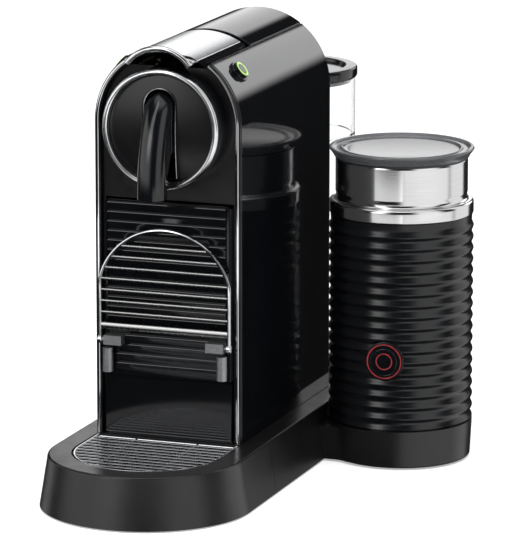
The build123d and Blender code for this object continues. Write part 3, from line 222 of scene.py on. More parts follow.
# Smoked copolyester of the frother's lid.
SMOKED = clear_plastic("smoked_copolyester", "#6a6b6e", 0.14, 1.5, 0.55)


def lit_ring(name, body, glow, strength):
    """Translucent ring with lamps behind it: brighter where a lamp sits."""
    material, tree, shader, place = new_material(name, Base_Color=linear(body), Roughness=0.22)
    lamps = noise(tree, place, 3.5, 1)
    tree.links.new(tinted(tree, lamps, body, glow), shader.inputs["Emission Color"])
    shader.inputs["Emission Strength"].default_value = strength
    return material


# Green light ring round each coffee button, red rings round the frother's button.
GREEN_LIGHT = lit_ring("green_light_ring", "#5d7f2c", "#b5e05c", 0.8)
RED_LIGHT = lit_ring("red_light_ring", "#5c1a1d", "#b03a40", 0.5)

FINISH = {
    "shell_black": PIANO_BLACK, "base_black": CHARCOAL, "fascia_black": SATIN_BLACK,
    "drum_black": GLOSS_BLACK, "trim_silver": SILVER_PAINT, "lever_silver": ANODISED,
    "chrome": CHROME, "wire_chrome": WIRE, "steel": STEEL, "pot_coating": NONSTICK,
    "rib_rubber": SLEEVE, "seal_rubber": SILICONE, "foot_rubber": RUBBER, "tank_clear": CLEAR,
    "smoke_lid": SMOKED, "lid_black": GLOSS_BLACK, "button_green": GREEN_LIGHT,
    "inner_plastic": NYLON, "inner_aluminium": CAST, "inner_coil": COPPER,
    "board_green": BOARD, "hose_clear": HOSE,
}


# ---- smooth shading for the carried-over CAD nodes ----
def joined_and_smoothed():
    """Node group: loose triangles are welded, and only edges sharper than 30 degrees stay sharp."""
    group = bpy.data.node_groups.new("weld_and_smooth", "GeometryNodeTree")
    group.interface.new_socket("Geometry", in_out="INPUT", socket_type="NodeSocketGeometry")
    group.interface.new_socket("Geometry", in_out="OUTPUT", socket_type="NodeSocketGeometry")
    start = add(group, "NodeGroupInput").outputs[0]
    joined = {"Geometry": start, "Distance": WELD_REACH}
    welded = add(group, "GeometryNodeMergeByDistance", joined).outputs[0]
    bend = add(group, "GeometryNodeInputMeshEdgeAngle").outputs["Unsigned Angle"]
    limits = {"A": bend, "B": radians(SHARP_ANGLE)}
    sharp = add(group, "FunctionNodeCompare", limits, operation="GREATER_THAN").outputs[0]
    smooth = {"Geometry": welded, "Shade Smooth": True}
    faces = add(group, "GeometryNodeSetShadeSmooth", smooth, domain="FACE").outputs[0]
    creased = {"Geometry": faces, "Selection": sharp, "Shade Smooth": False}
    edges = add(group, "GeometryNodeSetShadeSmooth", creased, domain="EDGE")
    add(group, "NodeGroupOutput", {"Geometry": edges.outputs[0]})
    return group


SMOOTHER = joined_and_smoothed()
for part in frame["record"]["subparts"]:
    node = frame["nodes"][part["node"]]
    node.data.materials.clear()
    node.data.materials.append(FINISH[part["material_slot"]])
    node.modifiers.new("weld", "NODES").node_group = SMOOTHER
    node.modifiers.new("even", "WEIGHTED_NORMAL").keep_sharp = True


# The hinge blocks are cast and only lightly polished.
frame["nodes"]["support_hinge"].data.materials[0] = CAST


# ---- surface kit: shapes are arrays of points in millimetres ----
def skin(rings, loop=False):
    """Surface through a stack of closed rings, given as rows x points x 3.

    Each point joins the next one in its ring and the same one in the next ring. With loop, the last
    ring joins the first; otherwise each end ring is closed by one face.
    """
    rows, count = rings.shape[:2]
    index = np.arange(rows * count).reshape(rows, count)
    here = index if loop else index[:-1]
    there = np.roll(index, -1, 0) if loop else index[1:]
    quads = np.stack([here, np.roll(here, -1, 1), np.roll(there, -1, 1), there], -1).reshape(-1, 4)
    ends = [] if loop else [index[0][::-1].tolist(), index[-1].tolist()]
    return rings.reshape(-1, 3), quads.tolist() + ends


def turned(profile, steps=128, lie=None):
    """Closed profile of (radius, height) turned a full circle: (r cos a, r sin a, h).

    With lie, the axis points along Y at that height: (r cos a, h, lie + r sin a).
    """
    radius, height = np.asarray(profile, float).T
    angle = np.linspace(0, TAU, steps, endpoint=False)[:, None]
    across, up = radius * np.cos(angle), radius * np.sin(angle)
    level = np.broadcast_to(height, across.shape)
    rings = np.stack([across, up, level] if lie is None else [across, level, lie + up], -1)
    return skin(rings, loop=True)


def arc(centre, radius, start, end, steps=12):
    """Points of a circle arc from start to end degrees."""
    angle = np.radians(np.linspace(start, end, steps))
    return np.stack([centre[0] + radius * np.cos(angle), centre[1] + radius * np.sin(angle)], -1)


def line(start, end, steps=2):
    return np.linspace(start, end, steps)


def carried(section, path, normal, looped=False):
    """Section of (out, up) points carried along a path: path + out * side + up * normal.

    side is square to the path and to normal, which is one fixed direction.
    """
    path, section = np.asarray(path, float), np.asarray(section, float)
    if looped:
        along = np.roll(path, -1, 0) - np.roll(path, 1, 0)
    else:
        along = np.gradient(path, axis=0)
    along /= np.linalg.norm(along, axis=1)[:, None]
    normal = np.asarray(normal, float)
    side = np.cross(along, normal)
    side /= np.linalg.norm(side, axis=1)[:, None]
    rings = path[:, None] + section[None, :, :1] * side[:, None] + section[None, :, 1:] * normal
    return skin(rings, loop=looped)


def rod(start, end, radius, steps=16, tip=0.0):
    """Round bar between two points; tip rounds its ends by that much."""
    start, end = np.asarray(start, float), np.asarray(end, float)
    along = (end - start) / np.linalg.norm(end - start)
    side = np.cross(along, (0.0, 0.0, 1.0) if abs(along[2]) < 0.9 else (1.0, 0.0, 0.0))
    side /= np.linalg.norm(side)
    up = np.cross(along, side)
    angle = np.linspace(0, TAU, steps, endpoint=False)
    ring = np.cos(angle)[:, None] * side + np.sin(angle)[:, None] * up
    stations = [(start, radius - tip), (start + along * tip, radius), (end - along * tip, radius),
                (end, radius - tip)]
    rows = stations if tip else stations[1:3]
    return skin(np.stack([centre + ring * r for centre, r in rows]))


def piece(name, skins, origin, body, slot, stands_for=(), edge_mm=0.0, finish=None,
          sharp=SHARP_ANGLE):
    """One shown piece: its skins in metres at origin, poles welded, faces outward, long edges rounded."""
    points, faces, start = [], [], 0
    for vertices, joined in skins:
        points.append(np.asarray(vertices) * MM + origin)
        faces += [[start + i for i in face] for face in joined]
        start += len(vertices)
    mesh = bpy.data.meshes.new(name)
    mesh.from_pydata(np.concatenate(points).tolist(), [], faces)
    work = bmesh.new()
    work.from_mesh(mesh)
    bmesh.ops.remove_doubles(work, verts=work.verts, dist=WELD_REACH)
    bmesh.ops.delete(work, geom=[e for e in work.edges if not e.link_faces], context="EDGES")
    bmesh.ops.recalc_face_normals(work, faces=work.faces)
    work.to_mesh(mesh)
    work.free()
    mesh.shade_smooth()
    mesh.set_sharp_from_angle(angle=radians(sharp))
    mesh.materials.append(finish or FINISH[slot])
    obj = bpy.data.objects.new(name, mesh)
    bpy.context.scene.collection.objects.link(obj)
    if edge_mm:
        edge = obj.modifiers.new("rounded_edges", "BEVEL")
        edge.width, edge.segments, edge.limit_method = edge_mm * MM, 3, "ANGLE"
        edge.angle_limit, edge.harden_normals = radians(sharp), True
    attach(obj, body)
    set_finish(obj, slot)
    if stands_for:
        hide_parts(*stands_for)
    return obj


# ---- arched housing ----
ARCH_R = 47.5
ARCH_Z = 229.5
HEAD_Z = 227.8


def arch_point(radius, lean):
    """Point on the arch at an angle from the top, in degrees, towards +X."""
    angle = np.radians(lean)
    return np.stack([radius * np.sin(angle), ARCH_Z + radius * np.cos(angle)], -1)


def arch_leg(side, radius, foot, top_lean, steps=56):
    """Centre line of one wall: up from its foot, then round the arch to top_lean degrees from the top."""
    wall = np.stack([np.full(2, side * radius), np.array([foot, (foot + ARCH_Z) / 2])], -1)
    bend = arch_point(radius, side * np.linspace(90, top_lean, steps))
    return np.concatenate([wall, bend])


def front_line(points, y):
    """Lifts (x, z) points into space at depth y."""
    return np.insert(points, 1, y, axis=1)


def rim():
    """Black rim on the housing's front edge and a polished bead along the middle of it."""
    band = [(-1.7, 0.0), (-1.7, 1.6), (1.7, 1.6), (1.7, 0.0)]
    bead = arc((0.2, 0.0), 0.95, 0, 360, 13)[:-1]
    bands, beads = [], []
    for side in (-1, 1):
        path = front_line(arch_leg(side, 45.4, 32.9, 36), 0.0)
        bands.append(carried(band, path, (0, 1, 0)))
        beads.append(carried(np.array(bead) * (1, 0.55), path, (0, 1, 0)))
    piece("rim_band", bands, MACHINE, "machine", "drum_black", ["edge_trim"], 0.35)
    piece("rim_bead", beads, MACHINE, "machine", "trim_silver", finish=CHROME)


def wall_section(side, steps=64):
    """Closed outline of one side wall: outer leg up, inner leg down."""
    outer = arch_leg(side, ARCH_R, 32.8, 36, steps)
    inner = arch_leg(side, ARCH_R - 2.6, 32.8, 36, steps)
    return np.concatenate([outer, inner[::-1]])


def drilled(obj, centre, direction, radius, reach=12.0):
    """Cuts a round hole of that radius, in mm, through a piece and keeps the result."""
    half_length = np.asarray(direction) * reach
    middle = np.asarray(centre, float)
    cutter = rod(middle - half_length, middle + half_length, radius, 48)
    tool = piece("drill", [cutter], np.zeros(3), obj["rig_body"], obj["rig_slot"])
    cut = obj.modifiers.new("hole", "BOOLEAN")
    cut.operation, cut.object, cut.solver = "DIFFERENCE", tool, "EXACT"
    while obj.modifiers[0] != cut:
        bpy.context.view_layer.objects.active = obj
        obj.modifiers.move(len(obj.modifiers) - 1, 0)
    others = [m for m in obj.modifiers if m != cut]
    for m in others:
        m.show_viewport = False
    bpy.context.view_layer.update()
    shaped = bpy.data.meshes.new_from_object(obj.evaluated_get(bpy.context.evaluated_depsgraph_get()))
    for m in others:
        m.show_viewport = True
    obj.modifiers.remove(cut)
    obj.data = shaped
    obj.data.shade_smooth()
    obj.data.set_sharp_from_angle(angle=radians(SHARP_ANGLE))
    bpy.data.objects.remove(tool)


BUTTON_LEAN = 51.0
BUTTON_Y = 25.0


def button_axis(side):
    """Centre on the shell and outward direction of one coffee button."""
    lean = radians(side * BUTTON_LEAN)
    out = np.array([sin(lean), 0.0, cos(lean)])
    return np.array([0.0, BUTTON_Y, ARCH_Z]) + out * ARCH_R, out


def side_walls():
    """Glossy side walls: the wall outline carried straight back, with a hole for the button."""
    for side, label in ((-1, "left"), (1, "right")):
        outline = wall_section(side)
        rings = np.stack([front_line(outline, y) for y in (1.65, 83.0, 165.0)])
        wall = piece(f"side_wall_{label}", [skin(rings)], MACHINE, "machine", "shell_black",
                     [f"side_panel_{label}"], 0.4)
        centre, out = button_axis(side)
        drilled(wall, centre * MM + MACHINE, out, 7.0 * MM, 8 * MM)


def top_cover():
    """Rear part of the roof: an arch sector carried back."""
    lean = np.linspace(-35.6, 35.6, 72)
    outline = np.concatenate([arch_point(ARCH_R, lean), arch_point(ARCH_R - 2.6, lean[::-1])])
    front, rear = (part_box("rear_top_cover")[i][1] / MM - MACHINE[1] / MM for i in (0, 1))
    rings = np.stack([front_line(outline, y) for y in (front, (front + rear) / 2, rear)])
    piece("roof_cover", [skin(rings)], MACHINE, "machine", "shell_black", ["rear_top_cover"], 0.4)


# ---- brewing head ----
RING_IN, RING_OUT, RING_FRONT = 33.2, 37.4, -14.0
SLOT_HALF, SLOT_TOP = 10.3, 253.0


def head_ring():
    """Chrome ring: a half-round front on straight flanks, turned about the head's axis."""
    middle, half = (RING_IN + RING_OUT) / 2, (RING_OUT - RING_IN) / 2
    angle = np.radians(np.linspace(0, 180, 25))
    nose = np.stack([middle + half * np.cos(angle), RING_FRONT + 2.6 - 2.6 * np.sin(angle)], -1)
    profile = np.concatenate([[(RING_OUT, -4.4)], nose, [(RING_IN, -4.4)]])
    ring = turned(profile, 160, HEAD_Z)
    piece("head_ring_chrome", [ring], MACHINE, "machine", "chrome", ["head_ring"], 0.2, finish=SATIN_CHROME)


def slot_path(half, top, low_z, steps=40):
    """Upturned U from the lower left, over a round top, to the lower right, as (x, z)."""
    left = line((-half, low_z), (-half, top - half), 14)
    over = arc((0, top - half), half, 180, 0, steps)
    right = line((half, top - half), (half, low_z), 14)
    return np.concatenate([left, over[1:-1], right])


def head_disc():
    """Domed disc with a slot open at the bottom.

    Across: from the slot's edge to the rim. Along: from the lower left, over the top, to the lower
    right. The face bulges as (1 - r^2 / R^2).
    """
    radius = RING_IN - 0.1
    low = HEAD_Z - (radius**2 - SLOT_HALF**2) ** 0.5
    inner = slot_path(SLOT_HALF, SLOT_TOP, low)
    lean = np.arctan2(inner[:, 0], inner[:, 1] - HEAD_Z + 14)
    limit = np.arcsin(SLOT_HALF / radius)
    spread = np.interp(np.linspace(0, 1, len(inner)), (0, 1), (-pi + limit, pi - limit))
    outer = np.stack([radius * np.sin(spread), HEAD_Z + radius * np.cos(spread)], -1)
    across = np.concatenate([[0.0, 0.02, 0.045], np.linspace(0.08, 0.97, 14), [1.0]])
    points = inner[:, None] + (outer - inner)[:, None] * across[None, :, None]
    from_axis = np.hypot(points[..., 0], points[..., 1] - HEAD_Z) / radius
    rolled = 0.5 * (1 - np.clip(across / 0.045, 0, 1)) ** 2
    face_y = -12.9 + 2.9 * from_axis**2 + rolled
    face = np.stack([points[..., 0], face_y, points[..., 1]], -1)
    back = np.stack([points[..., 0], np.full(face_y.shape, -7.6), points[..., 1]], -1)
    rings = np.concatenate([face, back[:, ::-1]], 1)
    piece("head_disc_domed", [skin(rings)], MACHINE, "machine", "fascia_black", ["head_disc"])
    bead_path = slot_path(SLOT_HALF - 0.15, SLOT_TOP - 0.15, low + 2)
    bead_y = -12.9 + 2.9 * (np.hypot(bead_path[:, 0], bead_path[:, 1] - HEAD_Z) / radius) ** 2 - 0.1
    path = np.stack([bead_path[:, 0], bead_y, bead_path[:, 1]], -1)
    piece("slot_bead", [carried(arc((0, 0), 0.4, 0, 360, 9)[:-1], path, (0, -1, 0))], MACHINE, "machine",
          "chrome", finish=STEEL)


BORE_R, BORE_Y, BORE_DEPTH = 4.0, -28.6, 18.0


def spout():
    """Coffee spout: horizontal sections stacked down its height.

    Front edge: -11.5 - 23 (1 - (1 - s)^2.2)^0.75 with s from 0 at the top to 1 at the tip. Each
    section is a half ellipse in front of straight flanks; the last rings turn in to the bore.
    """
    top, tip, half, count = 250.5, 188.0, 9.0, 48
    height = tip + (top - tip) * (1 - np.linspace(0.004, 1, 44) ** 1.2)
    s = (251 - height) / 63
    front_y = -11.5 - 23 * (1 - (1 - s) ** 2.2) ** 0.75
    under = np.clip((height - tip) / 33, 0, 1)
    back_y = -5 - 18.5 * (1 - under**2.5) ** 0.6
    rounding = np.sqrt(np.clip(half**2 - (height - top + half) ** 2, 0.3, None))
    width = np.where(height > top - half, rounding, half)
    nose = np.minimum(8.5, (back_y - front_y) * 0.85)
    angle = np.radians(np.linspace(0, 180, count))
    x = width[:, None] * np.sign(np.cos(angle)) * np.abs(np.cos(angle)) ** 0.9
    y = (front_y + nose)[:, None] - nose[:, None] * np.sin(angle)
    rings = np.stack([x, y, np.broadcast_to(height[:, None], x.shape)], -1)
    rear = np.stack([np.stack([-width, back_y, height], -1), np.stack([width, back_y, height], -1)], 1)
    body = np.concatenate([rings, rear], 1)
    around = np.linspace(0, TAU, body.shape[1], endpoint=False)
    bore_x = BORE_R * np.cos(around)
    bore_y = BORE_Y - BORE_R * np.sin(around)
    bore = [np.stack([bore_x, bore_y, np.full(around.shape, z)], -1) for z in (tip, tip + BORE_DEPTH)]
    shape = skin(np.concatenate([body, np.stack(bore)]))
    piece("spout_moulded", [shape], MACHINE, "machine", "drum_black", ["coffee_spout"], 0.5)


# ---- lever ----
# The lip: how far it reaches forward, half its thickness, how far it spreads at its root and at its
# front in degrees from the top, and the arc of its front edge.
LIP_REACH, LIP_HALF = 5.3, 1.7
LIP_ROOT_LEAN, LIP_FRONT_LEAN = 28.5, 52.8
LIP_FRONT_R, LIP_FRONT_Z = 27.0, 252.6
PLATE_FRONT_Y = -9.0


def lever():
    """Satin plate on top and the chrome lip that curls up from its front edge."""
    lean = np.linspace(-29.5, 29.5, 60)
    outline = np.concatenate([arch_point(ARCH_R, lean), arch_point(ARCH_R - 1.8, lean[::-1])])
    rings = np.stack([front_line(outline, y) for y in (PLATE_FRONT_Y, 20.0, 66.0)])
    piece("lever_top_plate", [skin(rings)], MACHINE, "lever", "lever_silver", ["lever_plate"], 0.5)

    share = np.linspace(-1, 1, 61)
    ease = np.linspace(0, 1, 15)
    root = np.radians(LIP_ROOT_LEAN * share)
    front = np.radians(LIP_FRONT_LEAN * share)
    root_way = np.stack([np.sin(root), np.cos(root)], -1)
    front_way = np.stack([np.sin(front), np.cos(front)], -1)
    start = (0, ARCH_Z) + ARCH_R * root_way
    end = (0, LIP_FRONT_Z) + LIP_FRONT_R * front_way
    blend = (ease**2 * (3 - 2 * ease))[:, None, None]
    top = start + (end - start) * blend
    outward = root_way * (1 - blend) + front_way * blend
    outward /= np.linalg.norm(outward, axis=-1)[..., None]
    under = top - 2 * LIP_HALF * outward
    depth = PLATE_FRONT_Y - LIP_REACH * np.sin(ease * pi / 2)
    loop_xz = np.concatenate([top, under[:, ::-1]], 1)
    loop_y = np.broadcast_to(depth[:, None], loop_xz.shape[:2])
    rings = np.stack([loop_xz[..., 0], loop_y, loop_xz[..., 1]], -1)
    middle = (top[-1] + under[-1]) / 2
    out = LIP_HALF * outward[-1]
    nose = []
    for turn in np.radians(np.linspace(12, 84, 7)):
        loop_end = np.concatenate([middle + out * cos(turn), (middle - out * cos(turn))[::-1]])
        nose.append(front_line(loop_end, depth[-1] - LIP_HALF * sin(turn)))
    rings = np.concatenate([rings, np.stack(nose)])
    piece("lever_front_lip", [skin(rings)], MACHINE, "lever", "chrome", ["lever_lip"], sharp=40)


# ---- buttons ----
def flat_ring(centre, out, inner, outer, low, high, steps=48):
    """Ring square to out: a rectangle from inner to outer radius turned about the axis."""
    out = np.asarray(out, float) / np.linalg.norm(out)
    side = np.cross(out, (0, 1, 0) if abs(out[1]) < 0.9 else (0, 0, 1))
    side /= np.linalg.norm(side)
    other = np.cross(out, side)
    angle = np.linspace(0, TAU, steps, endpoint=False)[:, None, None]
    spoke = np.cos(angle) * side + np.sin(angle) * other
    radius = np.array([inner, outer, outer, inner])[None, :, None]
    height = np.array([low, low, high, high])[None, :, None]
    return skin(np.asarray(centre) + spoke * radius + out * height, loop=True)


def coffee_buttons():
    """Black collar in the wall, black cap and a green lit ring on the cap's face."""
    collars = []
    for side, body, node in ((-1, "short_button", "button_short"), (1, "long_button", "button_long")):
        centre, out = button_axis(side)
        collars.append(flat_ring(centre, out, 5.5, 6.8, -4.0, 1.4))
        cap = [flat_ring(centre, out, 0.0, 5.3, -5.0, 3.35), flat_ring(centre, out, 0.0, 3.1, 3.3, 3.6)]
        piece(f"{node}_cap", cap, MACHINE, body, "fascia_black", [node], 0.1, finish=GLOSS_BLACK)
        glow = flat_ring(centre, out, 3.5, 5.1, 3.2, 3.55)
        piece(f"{node}_light", [glow], MACHINE, body, "button_green", edge_mm=0.1)
    piece("button_collars", collars, MACHINE, "machine", "drum_black", ["button_rings"], 0.3)


# ---- milk frother ----
JUG_R, NECK_R = 45.6, 41.6
RIB_LOW, RIB_PITCH, RIB_DEPTH, RIB_COUNT = 29.6, 7.23, 1.2, 17
NECK_Z, NECK_TOP = 157.2, 191.8


def jug_button_axis():
    """Centre on the jug's axis and outward direction of the frother's button."""
    turn = radians(-84.7)
    return np.array([0.0, 0.0, 70.2]), np.array([cos(turn), sin(turn), 0.0])


def sleeve():
    """Ribbed sleeve: radius = R - depth |cos(pi s)|^1.6, where s counts the ribs."""
    low, high = RIB_LOW - RIB_PITCH * 0.45, RIB_LOW + RIB_COUNT * RIB_PITCH
    height = np.linspace(low, high, (RIB_COUNT + 1) * 12)
    s = (height - RIB_LOW) / RIB_PITCH
    radius = JUG_R - RIB_DEPTH * np.abs(np.cos(pi * s)) ** 1.6
    ribs = np.stack([radius, height], -1)
    foot = [(41.8, 8.6), (43.1, 9.2), (43.1, 25.6), (43.9, 26.0)]
    crown = [(JUG_R - RIB_DEPTH, high + 0.4), (JUG_R - 0.9, NECK_Z - 0.3), (41.8, NECK_Z - 0.3)]
    shape = turned(np.concatenate([foot, ribs, crown]), 160)
    shell = piece("ribbed_sleeve", [shape], JUG, "jug", "rib_rubber", ["frother_jug"], sharp=50)
    centre, out = jug_button_axis()
    drilled(shell, (centre + out * 46) * MM + JUG, out, 12.45 * MM, 9 * MM)


def neck():
    """Brushed neck: a straight band rolled in at its top, a hollow above it, then a straight collar."""
    band = [(40.0, NECK_Z), (JUG_R - 0.7, NECK_Z), (JUG_R - 0.2, NECK_Z + 0.5),
            (JUG_R - 0.2, NECK_Z + 0.8), (JUG_R - 0.2, NECK_Z + 6.2)]
    roll = arc((JUG_R - 2.4, NECK_Z + 6.6), 2.2, 10, 84, 10)
    hollow = arc((JUG_R - 2.2, NECK_Z + 11.1), 2.3, 256, 190, 9)
    profile = np.concatenate([band, roll, hollow, [(NECK_R - 0.3, NECK_Z + 12.6), (NECK_R, NECK_Z + 13.4),
                              (NECK_R, NECK_Z + 13.9), (NECK_R, NECK_TOP - 1.2), (NECK_R, NECK_TOP - 0.8),
                              (NECK_R - 0.5, NECK_TOP), (40.0, NECK_TOP)]])
    piece("neck_brushed", [turned(profile, 160)], JUG, "jug", "chrome", ["frother_neck"], sharp=50,
          finish=BRUSHED)


def jug_lid():
    """Smoked lid: raised rounded rim, a low inner ring and a flat middle; its skirt sits on the neck."""
    rim = arc((JUG_R - 1.1, 197.9), 1.05, -20, 95, 9)
    ring = arc((37.6, 197.1), 1.1, 25, 155, 8)
    profile = np.concatenate([[(0, 195.4), (39.0, 195.4), (40.2, 193.2), (42.6, 193.2), (43.0, 194.2),
                               (44.0, 195.6), (45.0, 196.9)], rim,
                              [(42.8, 198.5), (41.6, 197.7), (40.0, 197.4)], ring,
                              [(35.8, 197.2), (33.8, 196.9), (0, 196.9)]])
    piece("smoked_lid", [turned(profile, 160)], JUG, "jug_cap", "smoke_lid", ["frother_lid"], sharp=40)


def jug_button():
    """Round pad and push button with a red lit ring on each."""
    centre, out = jug_button_axis()
    pad = flat_ring(centre, out, 8.6, 12.3, 41.8, 46.2, 72)
    piece("button_pad", [pad], JUG, "jug", "fascia_black", ["button_bezel"], 0.5, finish=GLOSS_BLACK)
    glow = flat_ring(centre, out, 10.3, 11.1, 46.0, 46.3, 72)
    piece("pad_light", [glow], JUG, "jug", "drum_black", edge_mm=0.1, finish=RED_LIGHT)
    cap = flat_ring(centre, out, 0.0, 8.3, 43.2, 46.6, 64)
    piece("push_button", [cap], JUG, "jug_button", "fascia_black", ["frother_button"], 0.5,
          finish=GLOSS_BLACK)
    glow = flat_ring(centre, out, 4.6, 5.3, 46.4, 46.7, 64)
    piece("push_light", [glow], JUG, "jug_button", "drum_black", edge_mm=0.1, finish=RED_LIGHT)


# ---- water tank ----
def tank():
    """Clear round tank with a moulded fill line, and its dished black lid."""
    outer, wall, top = 40.2, 2.2, 222.0
    inner, level = outer - wall, 185.0
    fill_line = [(inner, level + 0.6), (inner - 0.8, level), (inner, level - 0.6)]
    profile = np.concatenate([[(3, 38)], arc((outer - 4, 42), 4, -90, 0, 8), [(outer, top), (inner, top)],
                              fill_line, arc((inner - 3, 43.4), 3, 0, -90, 8), [(3, 40.4)]])
    piece("tank_clear_wall", [turned(profile, 160)], TANK, "tank", "tank_clear", ["water_tank"], sharp=40)
    lid = np.concatenate([[(0, 224.4), (34.2, 224.4), (35.2, 222.6), (40.9, 222.6)],
                          arc((40.5, 223.6), 1.0, -90, 0, 5), arc((40.0, 227.9), 1.5, 0, 90, 7),
                          [(35.2, 229.4)], arc((34.4, 228.6), 0.8, 90, 180, 5),
                          [(33.2, 227.2), (0, 227.2)]])
    plug = [(35.4, 219.5), (37.4, 219.5), (37.4, 223), (35.4, 223)]
    skins = [turned(lid, 128), turned(plug, 96)]
    piece("tank_lid_dished", skins, TANK, "tank_cap", "lid_black", ["tank_lid"], sharp=35)


# ---- drip grid, cup support and louvres ----
# The grid's half width, where its half circle starts, its rear edge and the pitch of its bars.
GRID_HALF, GRID_FRONT_Y, GRID_REAR_Y, GRID_PITCH = 45.4, -33.5, -1.8, 6.4
# The cup support: half width, depth, pivot height, where its arch starts and ends, pitch of its bars.
SUPPORT_HALF, SUPPORT_Y, SUPPORT_FOOT = 42.0, -6.0, 94.0
SUPPORT_ARC_Z, SUPPORT_TOP, SUPPORT_PITCH = 132.0, 164.6, 7.0
SLAT_COUNT, SLAT_PITCH, SLAT_LOW = 18, 5.9, 74.2


def oval(wide, tall, steps=12):
    """Closed oval section: (wide cos a, tall sin a)."""
    angle = np.linspace(0, TAU, steps, endpoint=False)
    return np.stack([wide * np.cos(angle), tall * np.sin(angle)], -1)


def grid():
    """Drip grid: an oval frame round a half circle, and flat-oval bars across it."""
    bend = arc((0, GRID_FRONT_Y), GRID_HALF, 180, 360, 56)
    left = line((-GRID_HALF, GRID_REAR_Y), (-GRID_HALF, GRID_FRONT_Y), 6)
    right = line((GRID_HALF, GRID_FRONT_Y), (GRID_HALF, GRID_REAR_Y), 6)
    path = np.insert(np.concatenate([left[:-1], bend, right[1:]]), 2, 32.1, axis=1)
    skins = [carried(oval(0.9, 0.7), path, (0, 0, 1))]
    skins += [rod((-GRID_HALF, GRID_REAR_Y, 31.2), (GRID_HALF, GRID_REAR_Y, 31.2), 0.6)]
    for y in np.arange(GRID_REAR_Y - GRID_PITCH, GRID_FRONT_Y - GRID_HALF + 3, -GRID_PITCH):
        reach = (GRID_HALF**2 - max(0.0, GRID_FRONT_Y - y) ** 2) ** 0.5
        skins.append(carried(oval(1.3, 0.42), line((-reach, y, 32.3), (reach, y, 32.3), 3), (0, 0, 1)))
    skins += [rod((x, GRID_REAR_Y, 31.3), (x, -74.0, 31.3), 0.6) for x in (-20, 20)]
    piece("grid_wires", skins, MACHINE, "grid", "wire_chrome", ["drip_grid"])


def support_arc(height):
    """Half width of the cup support's arch at a height, and its arc's radius."""
    rise = SUPPORT_TOP - SUPPORT_ARC_Z
    radius = (SUPPORT_HALF**2 + rise**2) / (2 * rise)
    above = max(0.0, height - (SUPPORT_TOP - radius))
    return min(SUPPORT_HALF, (radius**2 - above**2) ** 0.5), radius


def support():
    """Cup support: an arched wire hoop, a flat bar near its foot and thin bars above it."""
    radius = support_arc(0)[1]
    spread = np.degrees(np.arcsin(SUPPORT_HALF / radius))
    over = arc((0, SUPPORT_TOP - radius), radius, 90 + spread, 90 - spread, 48)
    left = line((-SUPPORT_HALF, SUPPORT_FOOT), (-SUPPORT_HALF, SUPPORT_ARC_Z), 9)
    right = line((SUPPORT_HALF, SUPPORT_ARC_Z), (SUPPORT_HALF, SUPPORT_FOOT), 9)
    path = np.concatenate([left[:-1], over, right[1:]])
    skins = [carried(oval(1.15, 1.5), front_line(path, SUPPORT_Y), (0, 1, 0))]
    for x in (-SUPPORT_HALF, SUPPORT_HALF):
        eye = (x - 1.3, SUPPORT_Y, SUPPORT_FOOT), (x + 1.3, SUPPORT_Y, SUPPORT_FOOT)
        skins.append(rod(*eye, 2.5, 24, 0.4))
    bars = []
    height = 111.3
    while height < SUPPORT_TOP - 4.7:
        half = support_arc(height - 1.3)[0]
        bars.append(rod((-half, SUPPORT_Y, height), (half, SUPPORT_Y, height), 0.85, 14))
        height += SUPPORT_PITCH
    across = line((-SUPPORT_HALF, SUPPORT_Y, 102.7), (SUPPORT_HALF, SUPPORT_Y, 102.7), 3)
    flat = carried(oval(1.1, 2.1), across, (0, 0, 1))
    piece("support_hoop", skins, MACHINE, "support", "wire_chrome", ["cup_support"])
    piece("support_bars", [*bars, flat], MACHINE, "support", "wire_chrome", finish=STEEL)


def louvres():
    """Louvred panel: slats whose faces lean down from a small rounded lip along each upper edge."""
    outline = [(0.8, 71.2), (0.8, 180.8), (-0.9, 180.8)]
    for count in reversed(range(SLAT_COUNT)):
        foot = SLAT_LOW + SLAT_PITCH * count
        outline += [(-0.9, foot + 5.2), (-1.5, foot + 5.2), (-2.0, foot + 5.15), (-2.3, foot + 4.95),
                    (-2.4, foot + 4.6), (-2.3, foot + 4.3), (-1.5, foot + 2.2), (-0.95, foot)]
    outline += [(-0.9, 71.2)]
    section = np.array(outline)
    slats = skin(np.stack([np.insert(section, 0, x, axis=1) for x in (-38.4, 38.4)]))
    square = [(-0.65, -0.8), (0.65, -0.8), (0.65, 0.8), (-0.65, 0.8)]
    stiles = [carried(square, line((x, -0.4, 71.4), (x, -0.4, 180.6)), (0, 1, 0)) for x in (-39.6, 39.6)]
    piece("louvre_slats", [slats, *stiles], MACHINE, "container", "drum_black", ["louvre_panel"])


rim()
side_walls()
top_cover()
head_ring()
head_disc()
spout()
lever()
coffee_buttons()
sleeve()
neck()
jug_lid()
jug_button()
tank()
grid()
support()
louvres()


# ---- floor, light and camera ----
def ground():
    """A wide matt floor; polished parts see the dark studio instead of it."""
    reach = 6.0
    corners = [(-reach, -reach, 0), (reach, -reach, 0), (reach, reach, 0), (-reach, reach, 0)]
    mesh = bpy.data.meshes.new("floor")
    mesh.from_pydata(corners, [], [(0, 1, 2, 3)])
    floor = bpy.data.objects.new("floor", mesh)
    bpy.context.scene.collection.objects.link(floor)
    # Matt board, lit a little from inside so that shadows on it stay soft and pale.
    board = new_material("matt_white_floor", Base_Color=linear("#e4e4e4"), Roughness=0.8,
                         Emission_Color=linear("#ffffff"), Emission_Strength=0.4)
    floor.data.materials.append(board[0])
    floor.visible_glossy = False


